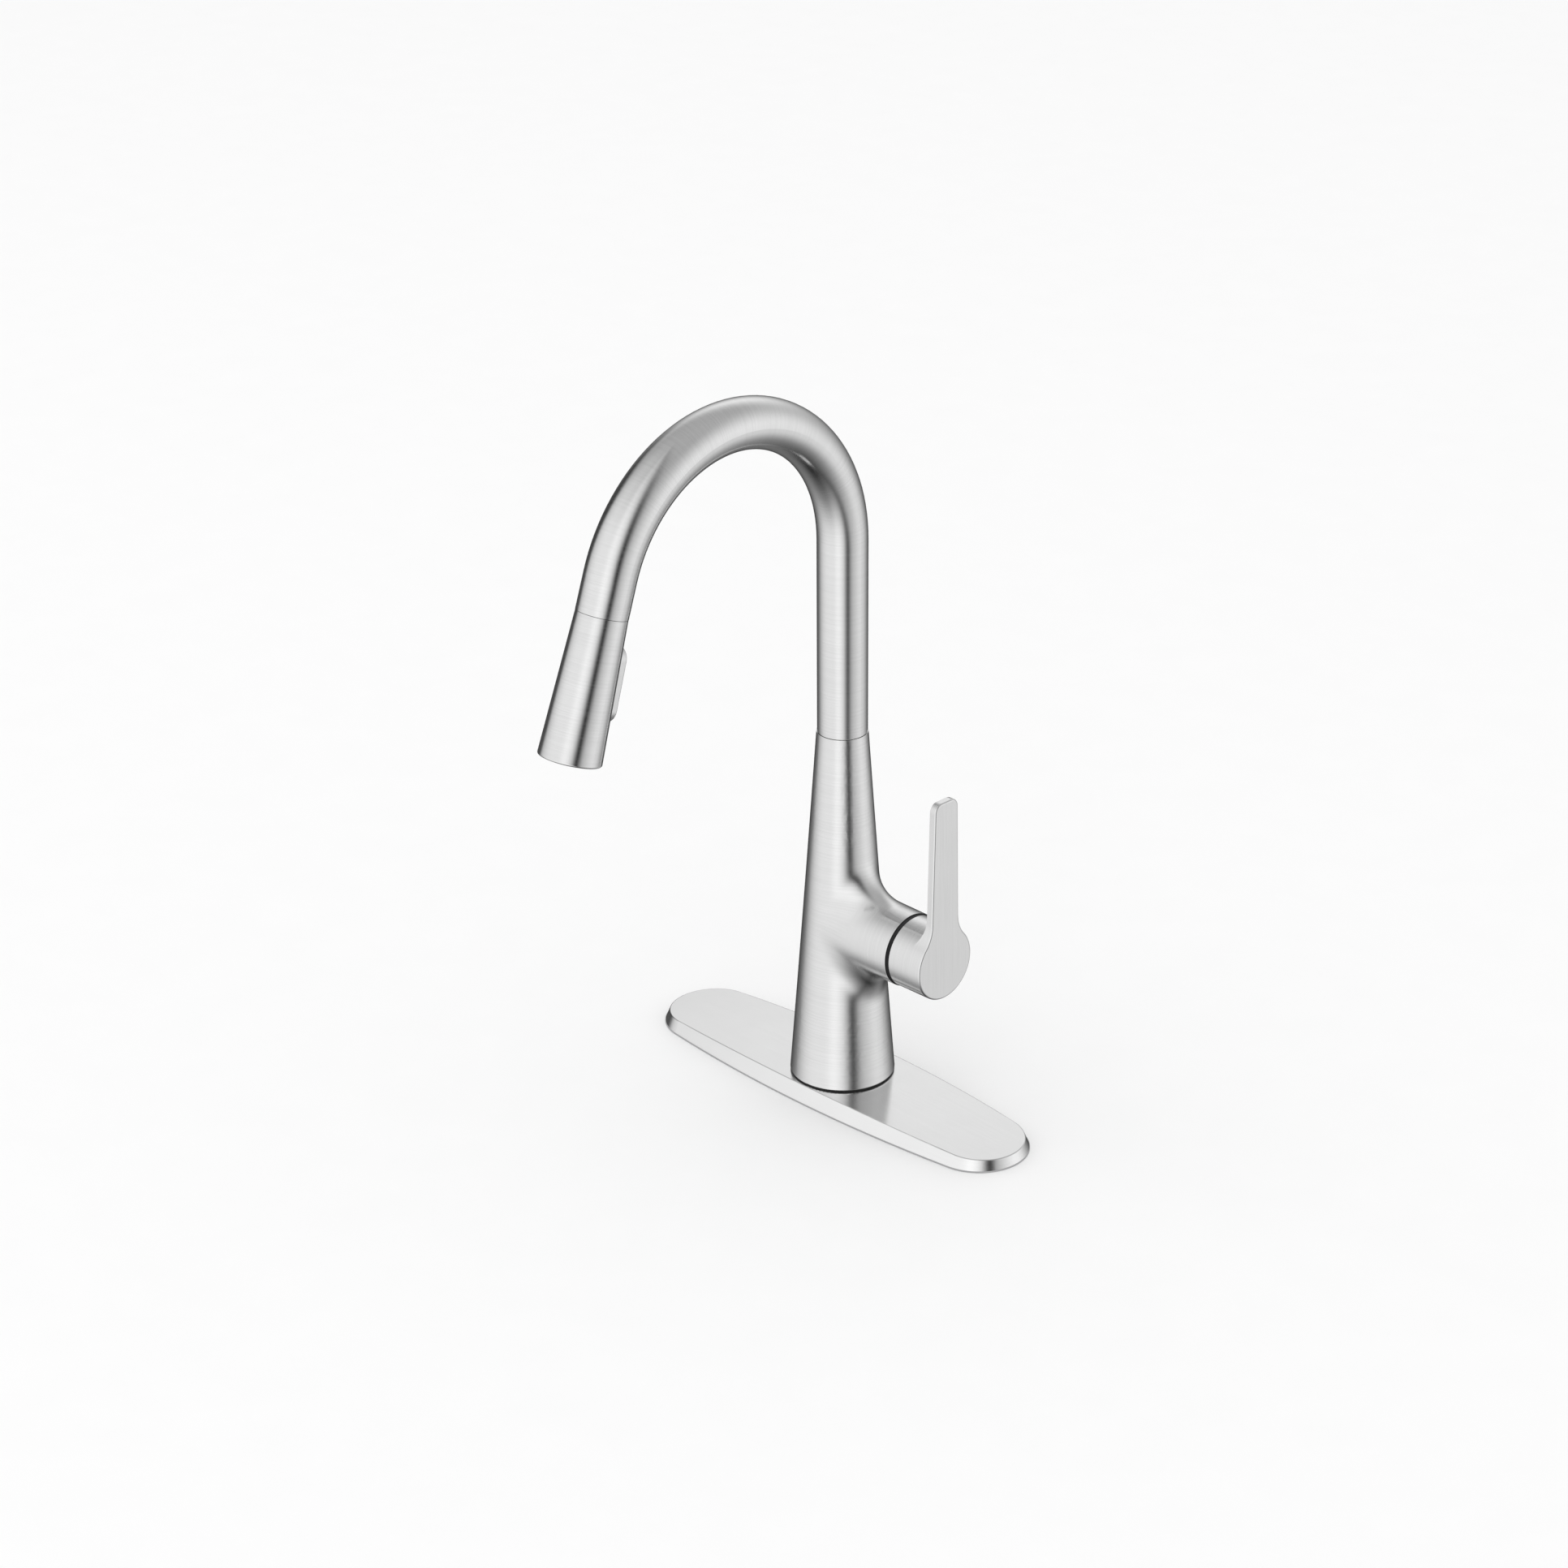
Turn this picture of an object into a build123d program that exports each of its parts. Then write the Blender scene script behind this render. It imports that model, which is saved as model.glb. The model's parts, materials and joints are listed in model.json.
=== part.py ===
from build123d import *
import os
from math import atan2, cos, degrees, radians, sin, sqrt, tan

# Pull-down kitchen faucet: deck plate, body with a side valve, gooseneck spout and spray head.
# Millimetres, +Z up. The origin is on the deck, on the spout's swivel axis.
# The handle is at +X, and the spout points to the front, -Y.

os.makedirs("parts", exist_ok=True)

# Clearances
slip = 0.1  # radial room between two pieces that are fixed to each other
running = 0.05  # radial room of a turning fit
film = 0.05  # room between the two ceramic discs
loose = 0.3  # room round pieces that move past each other

# Deck plate and its gasket
plate_length = 258.0
plate_width = 67.4
plate_end_radius = 27.5
plate_height = 9.1
plate_crown = 3.1
plate_side_draft = 4.0
plate_end_draft = 3.1
plate_wall = 2.2
plate_skin = 2.0
plate_edge_radius = 0.6
plate_boss_radius = 33.0
gasket_lip = 0.8
gasket_overhang = 0.3
gasket_rim_height = 2.2
gasket_rim_width = 2.5

# Seal under the body
seal_radius = 27.4
seal_bore = 21.0
seal_height = 1.2
seal_groove = 0.4

# Body: a flared column with a side branch for the valve
body_base_radius = 28.7
body_top_radius = 13.9
body_top_z = 212.9
body_waist_sag = 0.25
body_wall = 3.0
body_floor = 11.0
body_edge_radius = 0.6
branch_z = 100.6
branch_end_x = 51.5
branch_rim_radius = 20.5
branch_root_radius = 21.4
branch_blend = 20.0
branch_edge_radius = 0.4

# Shank below the deck, with its nut and washers
shank_radius = 16.5
shank_bore = 13.5
shank_length = 60.0
shank_grip = 45.0
shank_relief = 0.2
shank_shoulder = 0.7
guide_bore = 9.0
guide_length = 14.0
guide_flange = 2.0
rubber_washer_thickness = 1.9
steel_washer_thickness = 2.0
washer_radius = 29.0
nut_flats = 54.0
nut_height = 10.0
nut_room = 0.15
nut_rest_gap = 0.1
clamp_screw_radius = 2.5
clamp_screw_place = 22.0
clamp_screw_stand = 3.0
clamp_screw_head = 4.0
clamp_screw_head_flats = 8.0

# Valve body, a brass cup in the branch
valve_back_x = -3.0
valve_floor = 7.0
valve_radius = 17.6
valve_bore = 15.6
valve_flange_x = 42.0
valve_flange_radius = 18.5
valve_flange_width = 3.0
nut_thread_bore = 16.2
port_radius = 2.6
port_spread = 8.0
inlet_port_drop = 5.0
outlet_port_rise = 6.0
nipple_pad_drop = 20.0
nipple_pad_length = 8.8
nipple_pad_width = 26.0
nipple_x = 2.0
nipple_flange_radius = 3.8
nipple_flange_height = 3.0
nipple_radius = 3.4
nipple_length = 14.0
nipple_bore = 1.7

# Cartridge in the valve body
cartridge_base = 4.0
seal_ring_radius = 4.0
seal_ring_depth = 1.0
fixed_disc_thickness = 3.5
moving_disc_thickness = 4.5
moving_disc_radius = 9.8
disc_slot_room = 0.4
disc_slot_floor = 0.8
housing_wall = 2.1
housing_shoulder_x = 30.0
housing_neck_x = 38.0
housing_neck_radius = 12.8
carrier_flange_width = 3.2
carrier_radius = 10.7
carrier_end_x = 33.0
retaining_nut_end_x = 43.0
retaining_nut_thread_x = 36.0

# Stem and its pivot: the handle tilts about the pin and turns about the branch axis
pivot_x = 22.0
tilt_deg = 20.0
turn_deg = 45.0
stem_width = 8.0
stem_tip_x = 70.0
tail_width = 6.0
tail_tip_x = 13.4
pin_radius = 1.5
pin_length = 20.0

# Bonnet: a black dome about the pivot, in the gap between branch and handle
dome_radius = 35.5
dome_wall = 1.8
bonnet_skirt_radius = 18.4
bonnet_skirt_wall = 1.5
bonnet_fan_radius = 17.2

# Handle: round hub and flat lever
hub_gap = 2.2
hub_radius = 20.0
hub_wall = 2.0
hub_face_x = 76.0
hub_floor = 4.5
hub_pocket_x = 60.5
hub_edge_radius = 1.0
boss_radius = 9.0
screw_rib_width = 9.0
lever_height = 95.4
lever_low_width = 21.4
lever_top_width = 17.0
lever_thickness = 4.1
lever_corner_radius = 5.0
lever_blend = 20.0
scoop_start = 30.0
scoop_radius = 30.0
scoop_root_x = 60.6
set_screw_x = 66.0
set_screw_radius = 2.5
set_screw_length = 9.0
screw_plug_radius = 3.0
screw_plug_length = 2.5

# Gooseneck spout
tube_radius = 13.5
tube_wall = 1.5
seam = 0.25
arc_start_z = 321.5
arc_radius = 83.5
arc_deg = 161.2
tail_length = 19.0

# Swivel: spigot in the tube, turning in the body's bore
spigot_radius = 10.6
spigot_bore = 8.2
spigot_insert = 20.0
swivel_bore = 11.4
swivel_length = 50.0
glide_width = 8.0
glide_groove = 0.6
clip_width = 1.6
clip_radius = 12.6
clip_opening = 14.0

# Docking sleeve in the spout's end
dock_length = 18.0
dock_bore = 9.2
dock_chamfer = 1.2

# Spray head
spray_length = 74.9
spray_top_radius = 13.4
spray_face_radius = 16.5
spray_wall = 1.6
spray_edge_radius = 1.0
collar_depth = 7.6
collar_spigot_length = 15.0
coupling_radius = 5.0
coupling_bore = 3.3
coupling_hex_flats = 13.0
coupling_hex_height = 6.0
coupling_thread_radius = 4.5
coupling_thread_length = 8.0
check_valve_length = 10.0
core_radius = 7.7
core_flange_radius = 13.5
core_flange_length = 8.0
chamber_depth = 1.6
nozzle_count = 16
nozzle_circle = 11.0
nozzle_radius = 1.0
nozzle_stand = 0.5
mat_thickness = 2.0
face_thickness = 4.6
face_recess = 0.7
aerator_radius = 6.8
aerator_hole = 0.8
aerator_pitch = 2.8
aerator_rows = 4

# Rocker on the back of the spray head, and the diverter spool that it drives
rocker_top_s = 15.0
rocker_room = 3.0
rocker_width = 14.6
rocker_stand = 3.2
rocker_depth = 3.8
rocker_edge_radius = 1.2
rocker_gap = 0.35
rocker_deg = 6.0
rocker_pin_depth = 5.8
rocker_pin_radius = 1.05
rocker_lug_width = 5.0
rocker_lug_radius = 2.2
ear_width = 3.0
arm_length = 5.6
arm_width = 2.0
spool_axis = 3.4
spool_radius = 2.2
spool_length = 18.0

# Places worked out from the sizes above
body_base_z = plate_height - seal_groove + seal_height
swivel_floor_z = body_top_z - swivel_length
tube_bore = tube_radius - tube_wall
shank_head_radius = shank_radius + shank_shoulder
hub_back_x = branch_end_x + hub_gap
blade_back_x = hub_face_x - lever_thickness
valve_seat_x = valve_back_x + valve_floor
disc_seat_x = valve_seat_x + cartridge_base
disc_slide_x = disc_seat_x + fixed_disc_thickness + film
carrier_x = disc_slide_x + moving_disc_thickness + loose
housing_radius = valve_bore - slip
housing_bore = housing_radius - housing_wall
carrier_bore = carrier_radius + 2 * slip
counterbore_radius = valve_flange_radius + slip
spray_tilt = radians(180.0 - arc_deg)
spray_axis_dir = Vector(0, -sin(spray_tilt), -cos(spray_tilt))
spray_back_dir = Vector(0, cos(spray_tilt), -sin(spray_tilt))
arc_end = Vector(0, -arc_radius * (1 + cos(spray_tilt)), arc_start_z + arc_radius * sin(spray_tilt))
spray_top = arc_end + spray_axis_dir * tail_length
spray_section = Plane(origin=spray_top, x_dir=(1, 0, 0), z_dir=spray_back_dir)
spray_axis = Axis(spray_top, spray_axis_dir)
branch_axis = Axis((0, 0, branch_z), (1, 0, 0))
face_s = spray_length - face_recess - face_thickness
mat_s = face_s - mat_thickness
core_end_s = mat_s - chamber_depth
core_flange_s = core_end_s - core_flange_length
rocker_length = core_flange_s - rocker_room - rocker_top_s
rocker_s = rocker_top_s + rocker_length / 2


def across_branch(x):
    """Plane square to the branch axis: local x is +Y, local y is +Z, the normal is +X."""
    return Plane(origin=(x, 0, branch_z), x_dir=(0, 1, 0), z_dir=(1, 0, 0))


def across_spray(s):
    """Plane square to the spray's axis, s below the spout's end: the normal points to the spray face."""
    return Plane(origin=spray_top + spray_axis_dir * s, x_dir=(1, 0, 0), z_dir=spray_axis_dir)


def spray_radius(s):
    """Outer radius of the spray shell, s below the spout's end."""
    return spray_top_radius + (spray_face_radius - spray_top_radius) * s / spray_length


def body_radius(z):
    """Outer radius of the column at height z, on the chord of its curved side."""
    share = (body_top_z - z) / (body_top_z - body_base_z)
    return body_top_radius + (body_base_radius - body_top_radius) * share


def plate_outline(half_length, half_width, end_radius):
    """Long outline of the plate: two bowed sides, each tangent to the round ends."""
    reach = half_length - end_radius
    side_radius = (reach**2 + half_width**2 - end_radius**2) / (2 * (half_width - end_radius))
    lean = atan2(reach, side_radius - half_width)
    touch_x = reach + end_radius * sin(lean)
    touch_y = end_radius * cos(lean)
    with BuildSketch() as outline:
        with BuildLine():
            ThreePointArc((-touch_x, touch_y), (0, half_width), (touch_x, touch_y))
            ThreePointArc((touch_x, touch_y), (half_length, 0), (touch_x, -touch_y))
            ThreePointArc((touch_x, -touch_y), (0, -half_width), (-touch_x, -touch_y))
            ThreePointArc((-touch_x, -touch_y), (-half_length, 0), (-touch_x, touch_y))
        make_face()
    return outline.sketch


def inset_outline(inset, rise=0.0):
    """The plate's outline drawn in by inset, at rise above the plate's lower edge."""
    share = rise / (plate_height - gasket_lip)
    side = inset + plate_side_draft * share
    end = inset + plate_end_draft * share
    return plate_outline(plate_length / 2 - end, plate_width / 2 - side, plate_end_radius - side)


def crowned_slab(inset, drop):
    """The plate's drafted and crowned body, drawn in by inset and lowered by drop."""
    full_rise = plate_height - gasket_lip
    half = plate_length / 2
    with BuildPart() as slab:
        with BuildSketch(Plane.XY.offset(gasket_lip)):
            add(inset_outline(inset))
        with BuildSketch(Plane.XY.offset(plate_height)):
            add(inset_outline(inset, full_rise))
        loft()
        with BuildSketch(Plane.XZ):
            with BuildLine():
                top = plate_height - drop
                ThreePointArc((-half, top - plate_crown), (0, top), (half, top - plate_crown))
                Polyline((half, top - plate_crown), (half, 0), (-half, 0), (-half, top - plate_crown))
            make_face()
        extrude(amount=plate_width, both=True, mode=Mode.INTERSECT)
    return slab.part


# Deck plate: a hollow casting with a boss round the shank
with BuildPart() as plate_hollow:
    add(crowned_slab(plate_wall, plate_skin))
    with BuildSketch():
        Circle(plate_boss_radius)
    extrude(amount=plate_height, mode=Mode.SUBTRACT)

with BuildPart() as deck_plate:
    add(crowned_slab(0.0, 0.0))
    fillet(deck_plate.faces().sort_by(Axis.Z)[-1].edges(), plate_edge_radius)
    add(plate_hollow.part, mode=Mode.SUBTRACT)
    with BuildSketch(Plane.XY.offset(plate_height - seal_groove)):
        Circle(seal_radius + slip)
    extrude(amount=plate_height, mode=Mode.SUBTRACT)
    with BuildSketch():
        Circle(shank_head_radius + loose)
    extrude(amount=plate_height, mode=Mode.SUBTRACT)
deck_plate.part.label = "deck_plate"
export_step(deck_plate.part, "parts/deck_plate.step")

# Gasket: a sheet under the plate's edge with a locating rim inside its wall
with BuildPart() as deck_gasket:
    with BuildSketch():
        add(inset_outline(-gasket_overhang))
        Circle(shank_head_radius + loose, mode=Mode.SUBTRACT)
    extrude(amount=gasket_lip)
    with BuildSketch(Plane.XY.offset(gasket_lip)):
        add(inset_outline(plate_wall + loose, gasket_rim_height))
        add(inset_outline(plate_wall + loose + gasket_rim_width, gasket_rim_height), mode=Mode.SUBTRACT)
        Circle(plate_boss_radius + loose, mode=Mode.SUBTRACT)
    extrude(amount=gasket_rim_height)
deck_gasket.part.label = "deck_gasket"
export_step(deck_gasket.part, "parts/deck_gasket.step")

# Black seal between plate and body
with BuildPart() as base_seal:
    with BuildSketch(Plane.XY.offset(plate_height - seal_groove)):
        Circle(seal_radius)
        Circle(seal_bore, mode=Mode.SUBTRACT)
    extrude(amount=seal_height)
base_seal.part.label = "base_seal"
export_step(base_seal.part, "parts/base_seal.step")

# Body: the column is turned, the branch is drawn out of it and blended, then both are bored
with BuildPart() as faucet_body:
    with BuildSketch(Plane.XZ) as column_profile:
        with BuildLine():
            mid_z = (body_base_z + body_top_z) / 2
            ThreePointArc(
                (body_base_radius, body_base_z),
                (body_radius(mid_z) - body_waist_sag, mid_z),
                (body_top_radius, body_top_z),
            )
            Polyline(
                (body_top_radius, body_top_z),
                (0, body_top_z),
                (0, body_base_z),
                (body_base_radius, body_base_z),
            )
        make_face()
        fillet(column_profile.vertices().sort_by(Axis.X)[-1], body_edge_radius)
    revolve(axis=Axis.Z)
    with BuildSketch(Plane.XZ):
        with BuildLine():
            Polyline(
                (0, branch_z),
                (branch_end_x, branch_z),
                (branch_end_x, branch_z + branch_rim_radius),
                (0, branch_z + branch_root_radius),
                close=True,
            )
        make_face()
    revolve(axis=branch_axis)
    seam_edges = faucet_body.edges().filter_by(lambda edge: edge.geom_type == GeomType.BSPLINE)
    fillet(seam_edges, branch_blend)
    fillet(faucet_body.faces().sort_by(Axis.X)[-1].edges(), branch_edge_radius)
    with BuildSketch(Plane.XZ):
        with BuildLine():
            floor_z = body_base_z + body_floor
            Polyline(
                (0, floor_z),
                (body_radius(floor_z) - body_waist_sag - body_wall, floor_z),
                (body_radius(swivel_floor_z) - body_waist_sag - body_wall, swivel_floor_z),
                (swivel_bore, swivel_floor_z),
                (swivel_bore, body_top_z),
                (0, body_top_z),
                close=True,
            )
        make_face()
    revolve(axis=Axis.Z, mode=Mode.SUBTRACT)
    with BuildSketch(Plane.XY.offset(body_base_z)):
        Circle(shank_head_radius + slip)
    extrude(amount=body_floor, mode=Mode.SUBTRACT)
    with BuildSketch(across_branch(0)):
        Circle(valve_radius + slip)
    extrude(amount=branch_end_x, mode=Mode.SUBTRACT)
    with BuildSketch(across_branch(valve_flange_x)):
        Circle(counterbore_radius)
    extrude(amount=branch_end_x - valve_flange_x, mode=Mode.SUBTRACT)
faucet_body.part.label = "faucet_body"
export_step(faucet_body.part, "parts/faucet_body.step")

# Shank: a hollow screw from the body's floor through the deck
with BuildPart() as mounting_shank:
    with BuildSketch(Plane.XY.offset(-shank_length)):
        Circle(shank_radius - shank_relief)
    extrude(amount=shank_length - shank_grip)
    with BuildSketch(Plane.XY.offset(-shank_grip)):
        Circle(shank_radius)
    extrude(amount=shank_grip)
    with BuildSketch():
        Circle(shank_head_radius)
    extrude(amount=body_base_z + body_floor)
    with BuildSketch(Plane.XY.offset(-shank_length)):
        Circle(shank_bore)
    extrude(amount=shank_length + body_base_z + body_floor, mode=Mode.SUBTRACT)
mounting_shank.part.label = "mounting_shank"
export_step(mounting_shank.part, "parts/mounting_shank.step")

# Guide in the shank's lower end, so that the hoses don't chafe
with BuildPart() as hose_guide:
    with BuildSketch(Plane.XY.offset(-shank_length - guide_flange)):
        Circle(shank_radius - shank_relief - slip)
    extrude(amount=guide_flange)
    with BuildSketch(Plane.XY.offset(-shank_length)):
        Circle(shank_bore - slip)
    extrude(amount=guide_length)
    with BuildSketch(Plane.XY.offset(-shank_length - guide_flange)):
        Circle(guide_bore)
    extrude(amount=guide_flange + guide_length, mode=Mode.SUBTRACT)
    mouth_edges = hose_guide.edges().filter_by(GeomType.CIRCLE).sort_by(SortBy.RADIUS)[0:2]
    fillet(mouth_edges, guide_flange / 2)
hose_guide.part.label = "hose_guide"
export_step(hose_guide.part, "parts/hose_guide.step")

# Washers, nut and clamp screws, run down to the end of the shank's thread
rubber_z = -shank_grip - nut_rest_gap - rubber_washer_thickness
steel_z = rubber_z - steel_washer_thickness
nut_z = steel_z - nut_height

with BuildPart() as rubber_washer:
    with BuildSketch(Plane.XY.offset(rubber_z)):
        Circle(washer_radius)
        Circle(shank_radius + loose, mode=Mode.SUBTRACT)
    extrude(amount=rubber_washer_thickness)
rubber_washer.part.label = "rubber_washer"
export_step(rubber_washer.part, "parts/rubber_washer.step")

with BuildPart() as steel_washer:
    with BuildSketch(Plane.XY.offset(steel_z)):
        Circle(washer_radius)
        Circle(shank_radius + loose, mode=Mode.SUBTRACT)
    extrude(amount=steel_washer_thickness)
steel_washer.part.label = "steel_washer"
export_step(steel_washer.part, "parts/steel_washer.step")

with BuildPart() as mounting_nut:
    with BuildSketch(Plane.XY.offset(nut_z)):
        RegularPolygon(nut_flats / 2, 6, major_radius=False)
        Circle(shank_radius + nut_room, mode=Mode.SUBTRACT)
        with Locations((0, clamp_screw_place), (0, -clamp_screw_place)):
            Circle(clamp_screw_radius + slip, mode=Mode.SUBTRACT)
    extrude(amount=nut_height)
mounting_nut.part.label = "mounting_nut"
export_step(mounting_nut.part, "parts/mounting_nut.step")

with BuildPart() as clamp_screws:
    with BuildSketch(Plane.XY.offset(nut_z - clamp_screw_stand)):
        with Locations((0, clamp_screw_place), (0, -clamp_screw_place)):
            Circle(clamp_screw_radius)
    extrude(amount=clamp_screw_stand + nut_height)
    with BuildSketch(Plane.XY.offset(nut_z - clamp_screw_stand - clamp_screw_head)):
        with Locations((0, clamp_screw_place), (0, -clamp_screw_place)):
            RegularPolygon(clamp_screw_head_flats / 2, 6, major_radius=False)
    extrude(amount=clamp_screw_head)
clamp_screws.part.label = "clamp_screws"
export_step(clamp_screws.part, "parts/clamp_screws.step")

# Valve body: a brass cup in the branch, with a pad for the three hose nipples
port_places = [(-port_spread, -inlet_port_drop), (port_spread, -inlet_port_drop), (0, outlet_port_rise)]
pad_z = branch_z - nipple_pad_drop
pad_depth = nipple_pad_drop - inlet_port_drop
inlet_places = [(nipple_x, -port_spread), (nipple_x, port_spread)]
outlet_place = (nipple_x, 0)

with BuildPart() as valve_body:
    with BuildSketch(across_branch(valve_back_x)):
        Circle(valve_radius)
    extrude(amount=valve_flange_x - valve_back_x)
    with BuildSketch(across_branch(valve_flange_x)):
        Circle(valve_flange_radius)
    extrude(amount=valve_flange_width)
    with BuildSketch(Plane.XY.offset(pad_z)):
        with Locations((nipple_x, 0)):
            Rectangle(nipple_pad_length, nipple_pad_width)
    extrude(amount=pad_depth)
    with BuildSketch(across_branch(valve_seat_x)):
        Circle(valve_bore)
    extrude(amount=valve_flange_x - valve_seat_x, mode=Mode.SUBTRACT)
    with BuildSketch(across_branch(retaining_nut_thread_x)):
        Circle(nut_thread_bore)
    extrude(amount=valve_flange_x + valve_flange_width - retaining_nut_thread_x, mode=Mode.SUBTRACT)
    with BuildSketch(across_branch(valve_back_x + valve_floor / 2)):
        with Locations(*port_places):
            Circle(port_radius)
    extrude(amount=valve_floor / 2, mode=Mode.SUBTRACT)
    with BuildSketch(Plane.XY.offset(pad_z)):
        with Locations(*inlet_places):
            Circle(nipple_bore)
    extrude(amount=pad_depth, mode=Mode.SUBTRACT)
    with BuildSketch(Plane.XY.offset(pad_z)):
        with Locations(outlet_place):
            Circle(nipple_bore)
    extrude(amount=nipple_pad_drop + outlet_port_rise, mode=Mode.SUBTRACT)
valve_body.part.label = "valve_body"
export_step(valve_body.part, "parts/valve_body.step")

# Hose nipples: hot and cold inlets and the mixed outlet
with BuildPart() as hose_nipples:
    with BuildSketch(Plane.XY.offset(pad_z - nipple_flange_height)):
        with Locations(*inlet_places, outlet_place):
            Circle(nipple_flange_radius)
            Circle(nipple_bore, mode=Mode.SUBTRACT)
    extrude(amount=nipple_flange_height)
    with BuildSketch(Plane.XY.offset(pad_z - nipple_flange_height - nipple_length)):
        with Locations(*inlet_places, outlet_place):
            Circle(nipple_radius)
            Circle(nipple_bore, mode=Mode.SUBTRACT)
    extrude(amount=nipple_length)
hose_nipples.part.label = "hose_nipples"
export_step(hose_nipples.part, "parts/hose_nipples.step")

# Cartridge base with its ports, and a seal ring in each port's mouth
with BuildPart() as cartridge_base_plate:
    with BuildSketch(across_branch(valve_seat_x)):
        Circle(housing_radius)
        with Locations(*port_places):
            Circle(port_radius, mode=Mode.SUBTRACT)
    extrude(amount=cartridge_base)
    with BuildSketch(across_branch(valve_seat_x)):
        with Locations(*port_places):
            Circle(seal_ring_radius + slip)
    extrude(amount=seal_ring_depth, mode=Mode.SUBTRACT)
cartridge_base_plate.part.label = "cartridge_base"
export_step(cartridge_base_plate.part, "parts/cartridge_base.step")

with BuildPart() as cartridge_seals:
    with BuildSketch(across_branch(valve_seat_x)):
        with Locations(*port_places):
            Circle(seal_ring_radius)
            Circle(port_radius, mode=Mode.SUBTRACT)
    extrude(amount=seal_ring_depth)
cartridge_seals.part.label = "cartridge_seals"
export_step(cartridge_seals.part, "parts/cartridge_seals.step")

# Ceramic discs: the fixed one has the ports, the moving one slides over it
with BuildPart() as fixed_disc:
    with BuildSketch(across_branch(disc_seat_x)):
        Circle(housing_bore - slip)
        with Locations(*port_places):
            Circle(port_radius, mode=Mode.SUBTRACT)
    extrude(amount=fixed_disc_thickness)
fixed_disc.part.label = "fixed_disc"
export_step(fixed_disc.part, "parts/fixed_disc.step")

# The slot holds the stem's tail at full tilt
tilt = radians(tilt_deg)
tail_reach = (pivot_x - tail_tip_x) * cos(tilt) + tail_width / 2 * sin(tilt)
disc_face_x = disc_slide_x + moving_disc_thickness
tail_hold = tail_reach - (pivot_x - disc_face_x)
disc_slot_length = tail_width * cos(tilt) + tail_hold * tan(tilt) + 2 * disc_slot_room

with BuildPart() as moving_disc:
    with BuildSketch(across_branch(disc_slide_x)):
        Circle(moving_disc_radius)
    extrude(amount=moving_disc_thickness)
    with BuildSketch(across_branch(disc_slide_x + disc_slot_floor)):
        Rectangle(tail_width + 2 * loose, disc_slot_length)
    extrude(amount=moving_disc_thickness, mode=Mode.SUBTRACT)
moving_disc.part.label = "moving_disc"
export_step(moving_disc.part, "parts/moving_disc.step")

# Cartridge housing: a sleeve with a narrower neck that keeps the stem carrier in
with BuildPart() as cartridge_housing:
    with BuildSketch(across_branch(disc_seat_x)):
        Circle(housing_radius)
    extrude(amount=housing_shoulder_x - disc_seat_x)
    with BuildSketch(across_branch(housing_shoulder_x)):
        Circle(housing_neck_radius)
    extrude(amount=housing_neck_x - housing_shoulder_x)
    with BuildSketch(across_branch(disc_seat_x)):
        Circle(housing_bore)
    extrude(amount=carrier_x + carrier_flange_width + slip - disc_seat_x, mode=Mode.SUBTRACT)
    with BuildSketch(across_branch(disc_seat_x)):
        Circle(carrier_bore)
    extrude(amount=housing_neck_x - disc_seat_x, mode=Mode.SUBTRACT)
cartridge_housing.part.label = "cartridge_housing"
export_step(cartridge_housing.part, "parts/cartridge_housing.step")

# Stem carrier: turns in the housing, slotted so that the stem can tilt in it
shoulder_reach = (pivot_x - disc_face_x - loose - stem_width / 2 * sin(tilt)) / cos(tilt)
shoulder_lift = shoulder_reach * sin(tilt) + stem_width / 2 * cos(tilt)
tail_lift = (pivot_x - carrier_x) * tan(tilt) + tail_width / 2 / cos(tilt)
stem_lift = max(shoulder_lift, tail_lift)
stem_drop = (carrier_end_x - pivot_x) * tan(tilt) + stem_width / 2 / cos(tilt)

with BuildPart() as stem_carrier:
    with BuildSketch(across_branch(carrier_x)):
        Circle(housing_bore - 2 * slip)
    extrude(amount=carrier_flange_width)
    with BuildSketch(across_branch(carrier_x + carrier_flange_width)):
        Circle(carrier_radius)
    extrude(amount=carrier_end_x - carrier_x - carrier_flange_width)
    with BuildSketch(across_branch(carrier_x)):
        with BuildLine():
            Polyline(
                (-stem_width / 2 - loose, stem_lift + loose),
                (stem_width / 2 + loose, stem_lift + loose),
                (stem_width / 2 + loose, -stem_drop - loose),
                (-stem_width / 2 - loose, -stem_drop - loose),
                close=True,
            )
        make_face()
    extrude(amount=carrier_end_x - carrier_x, mode=Mode.SUBTRACT)
    with BuildSketch(Plane.XZ):
        with Locations((pivot_x, branch_z)):
            Circle(pin_radius + running)
    extrude(amount=pin_length / 2, both=True, mode=Mode.SUBTRACT)
stem_carrier.part.label = "stem_carrier"
export_step(stem_carrier.part, "parts/stem_carrier.step")

with BuildPart() as pivot_pin:
    with BuildSketch(Plane.XZ):
        with Locations((pivot_x, branch_z)):
            Circle(pin_radius)
    extrude(amount=pin_length / 2, both=True)
pivot_pin.part.label = "pivot_pin"
export_step(pivot_pin.part, "parts/pivot_pin.step")

# Stem: a square bar from the handle's boss to the moving disc
stem_shoulder_x = pivot_x - shoulder_reach

with BuildPart() as stem:
    with BuildSketch(across_branch(stem_shoulder_x)):
        Rectangle(stem_width, stem_width)
    extrude(amount=stem_tip_x - stem_shoulder_x)
    with BuildSketch(across_branch(tail_tip_x)):
        Rectangle(tail_width, tail_width)
    extrude(amount=stem_shoulder_x - tail_tip_x)
    with BuildSketch(Plane.XZ):
        with Locations((pivot_x, branch_z)):
            Circle(pin_radius + running)
    extrude(amount=stem_width, both=True, mode=Mode.SUBTRACT)
stem.part.label = "stem"
export_step(stem.part, "parts/stem.step")

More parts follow.
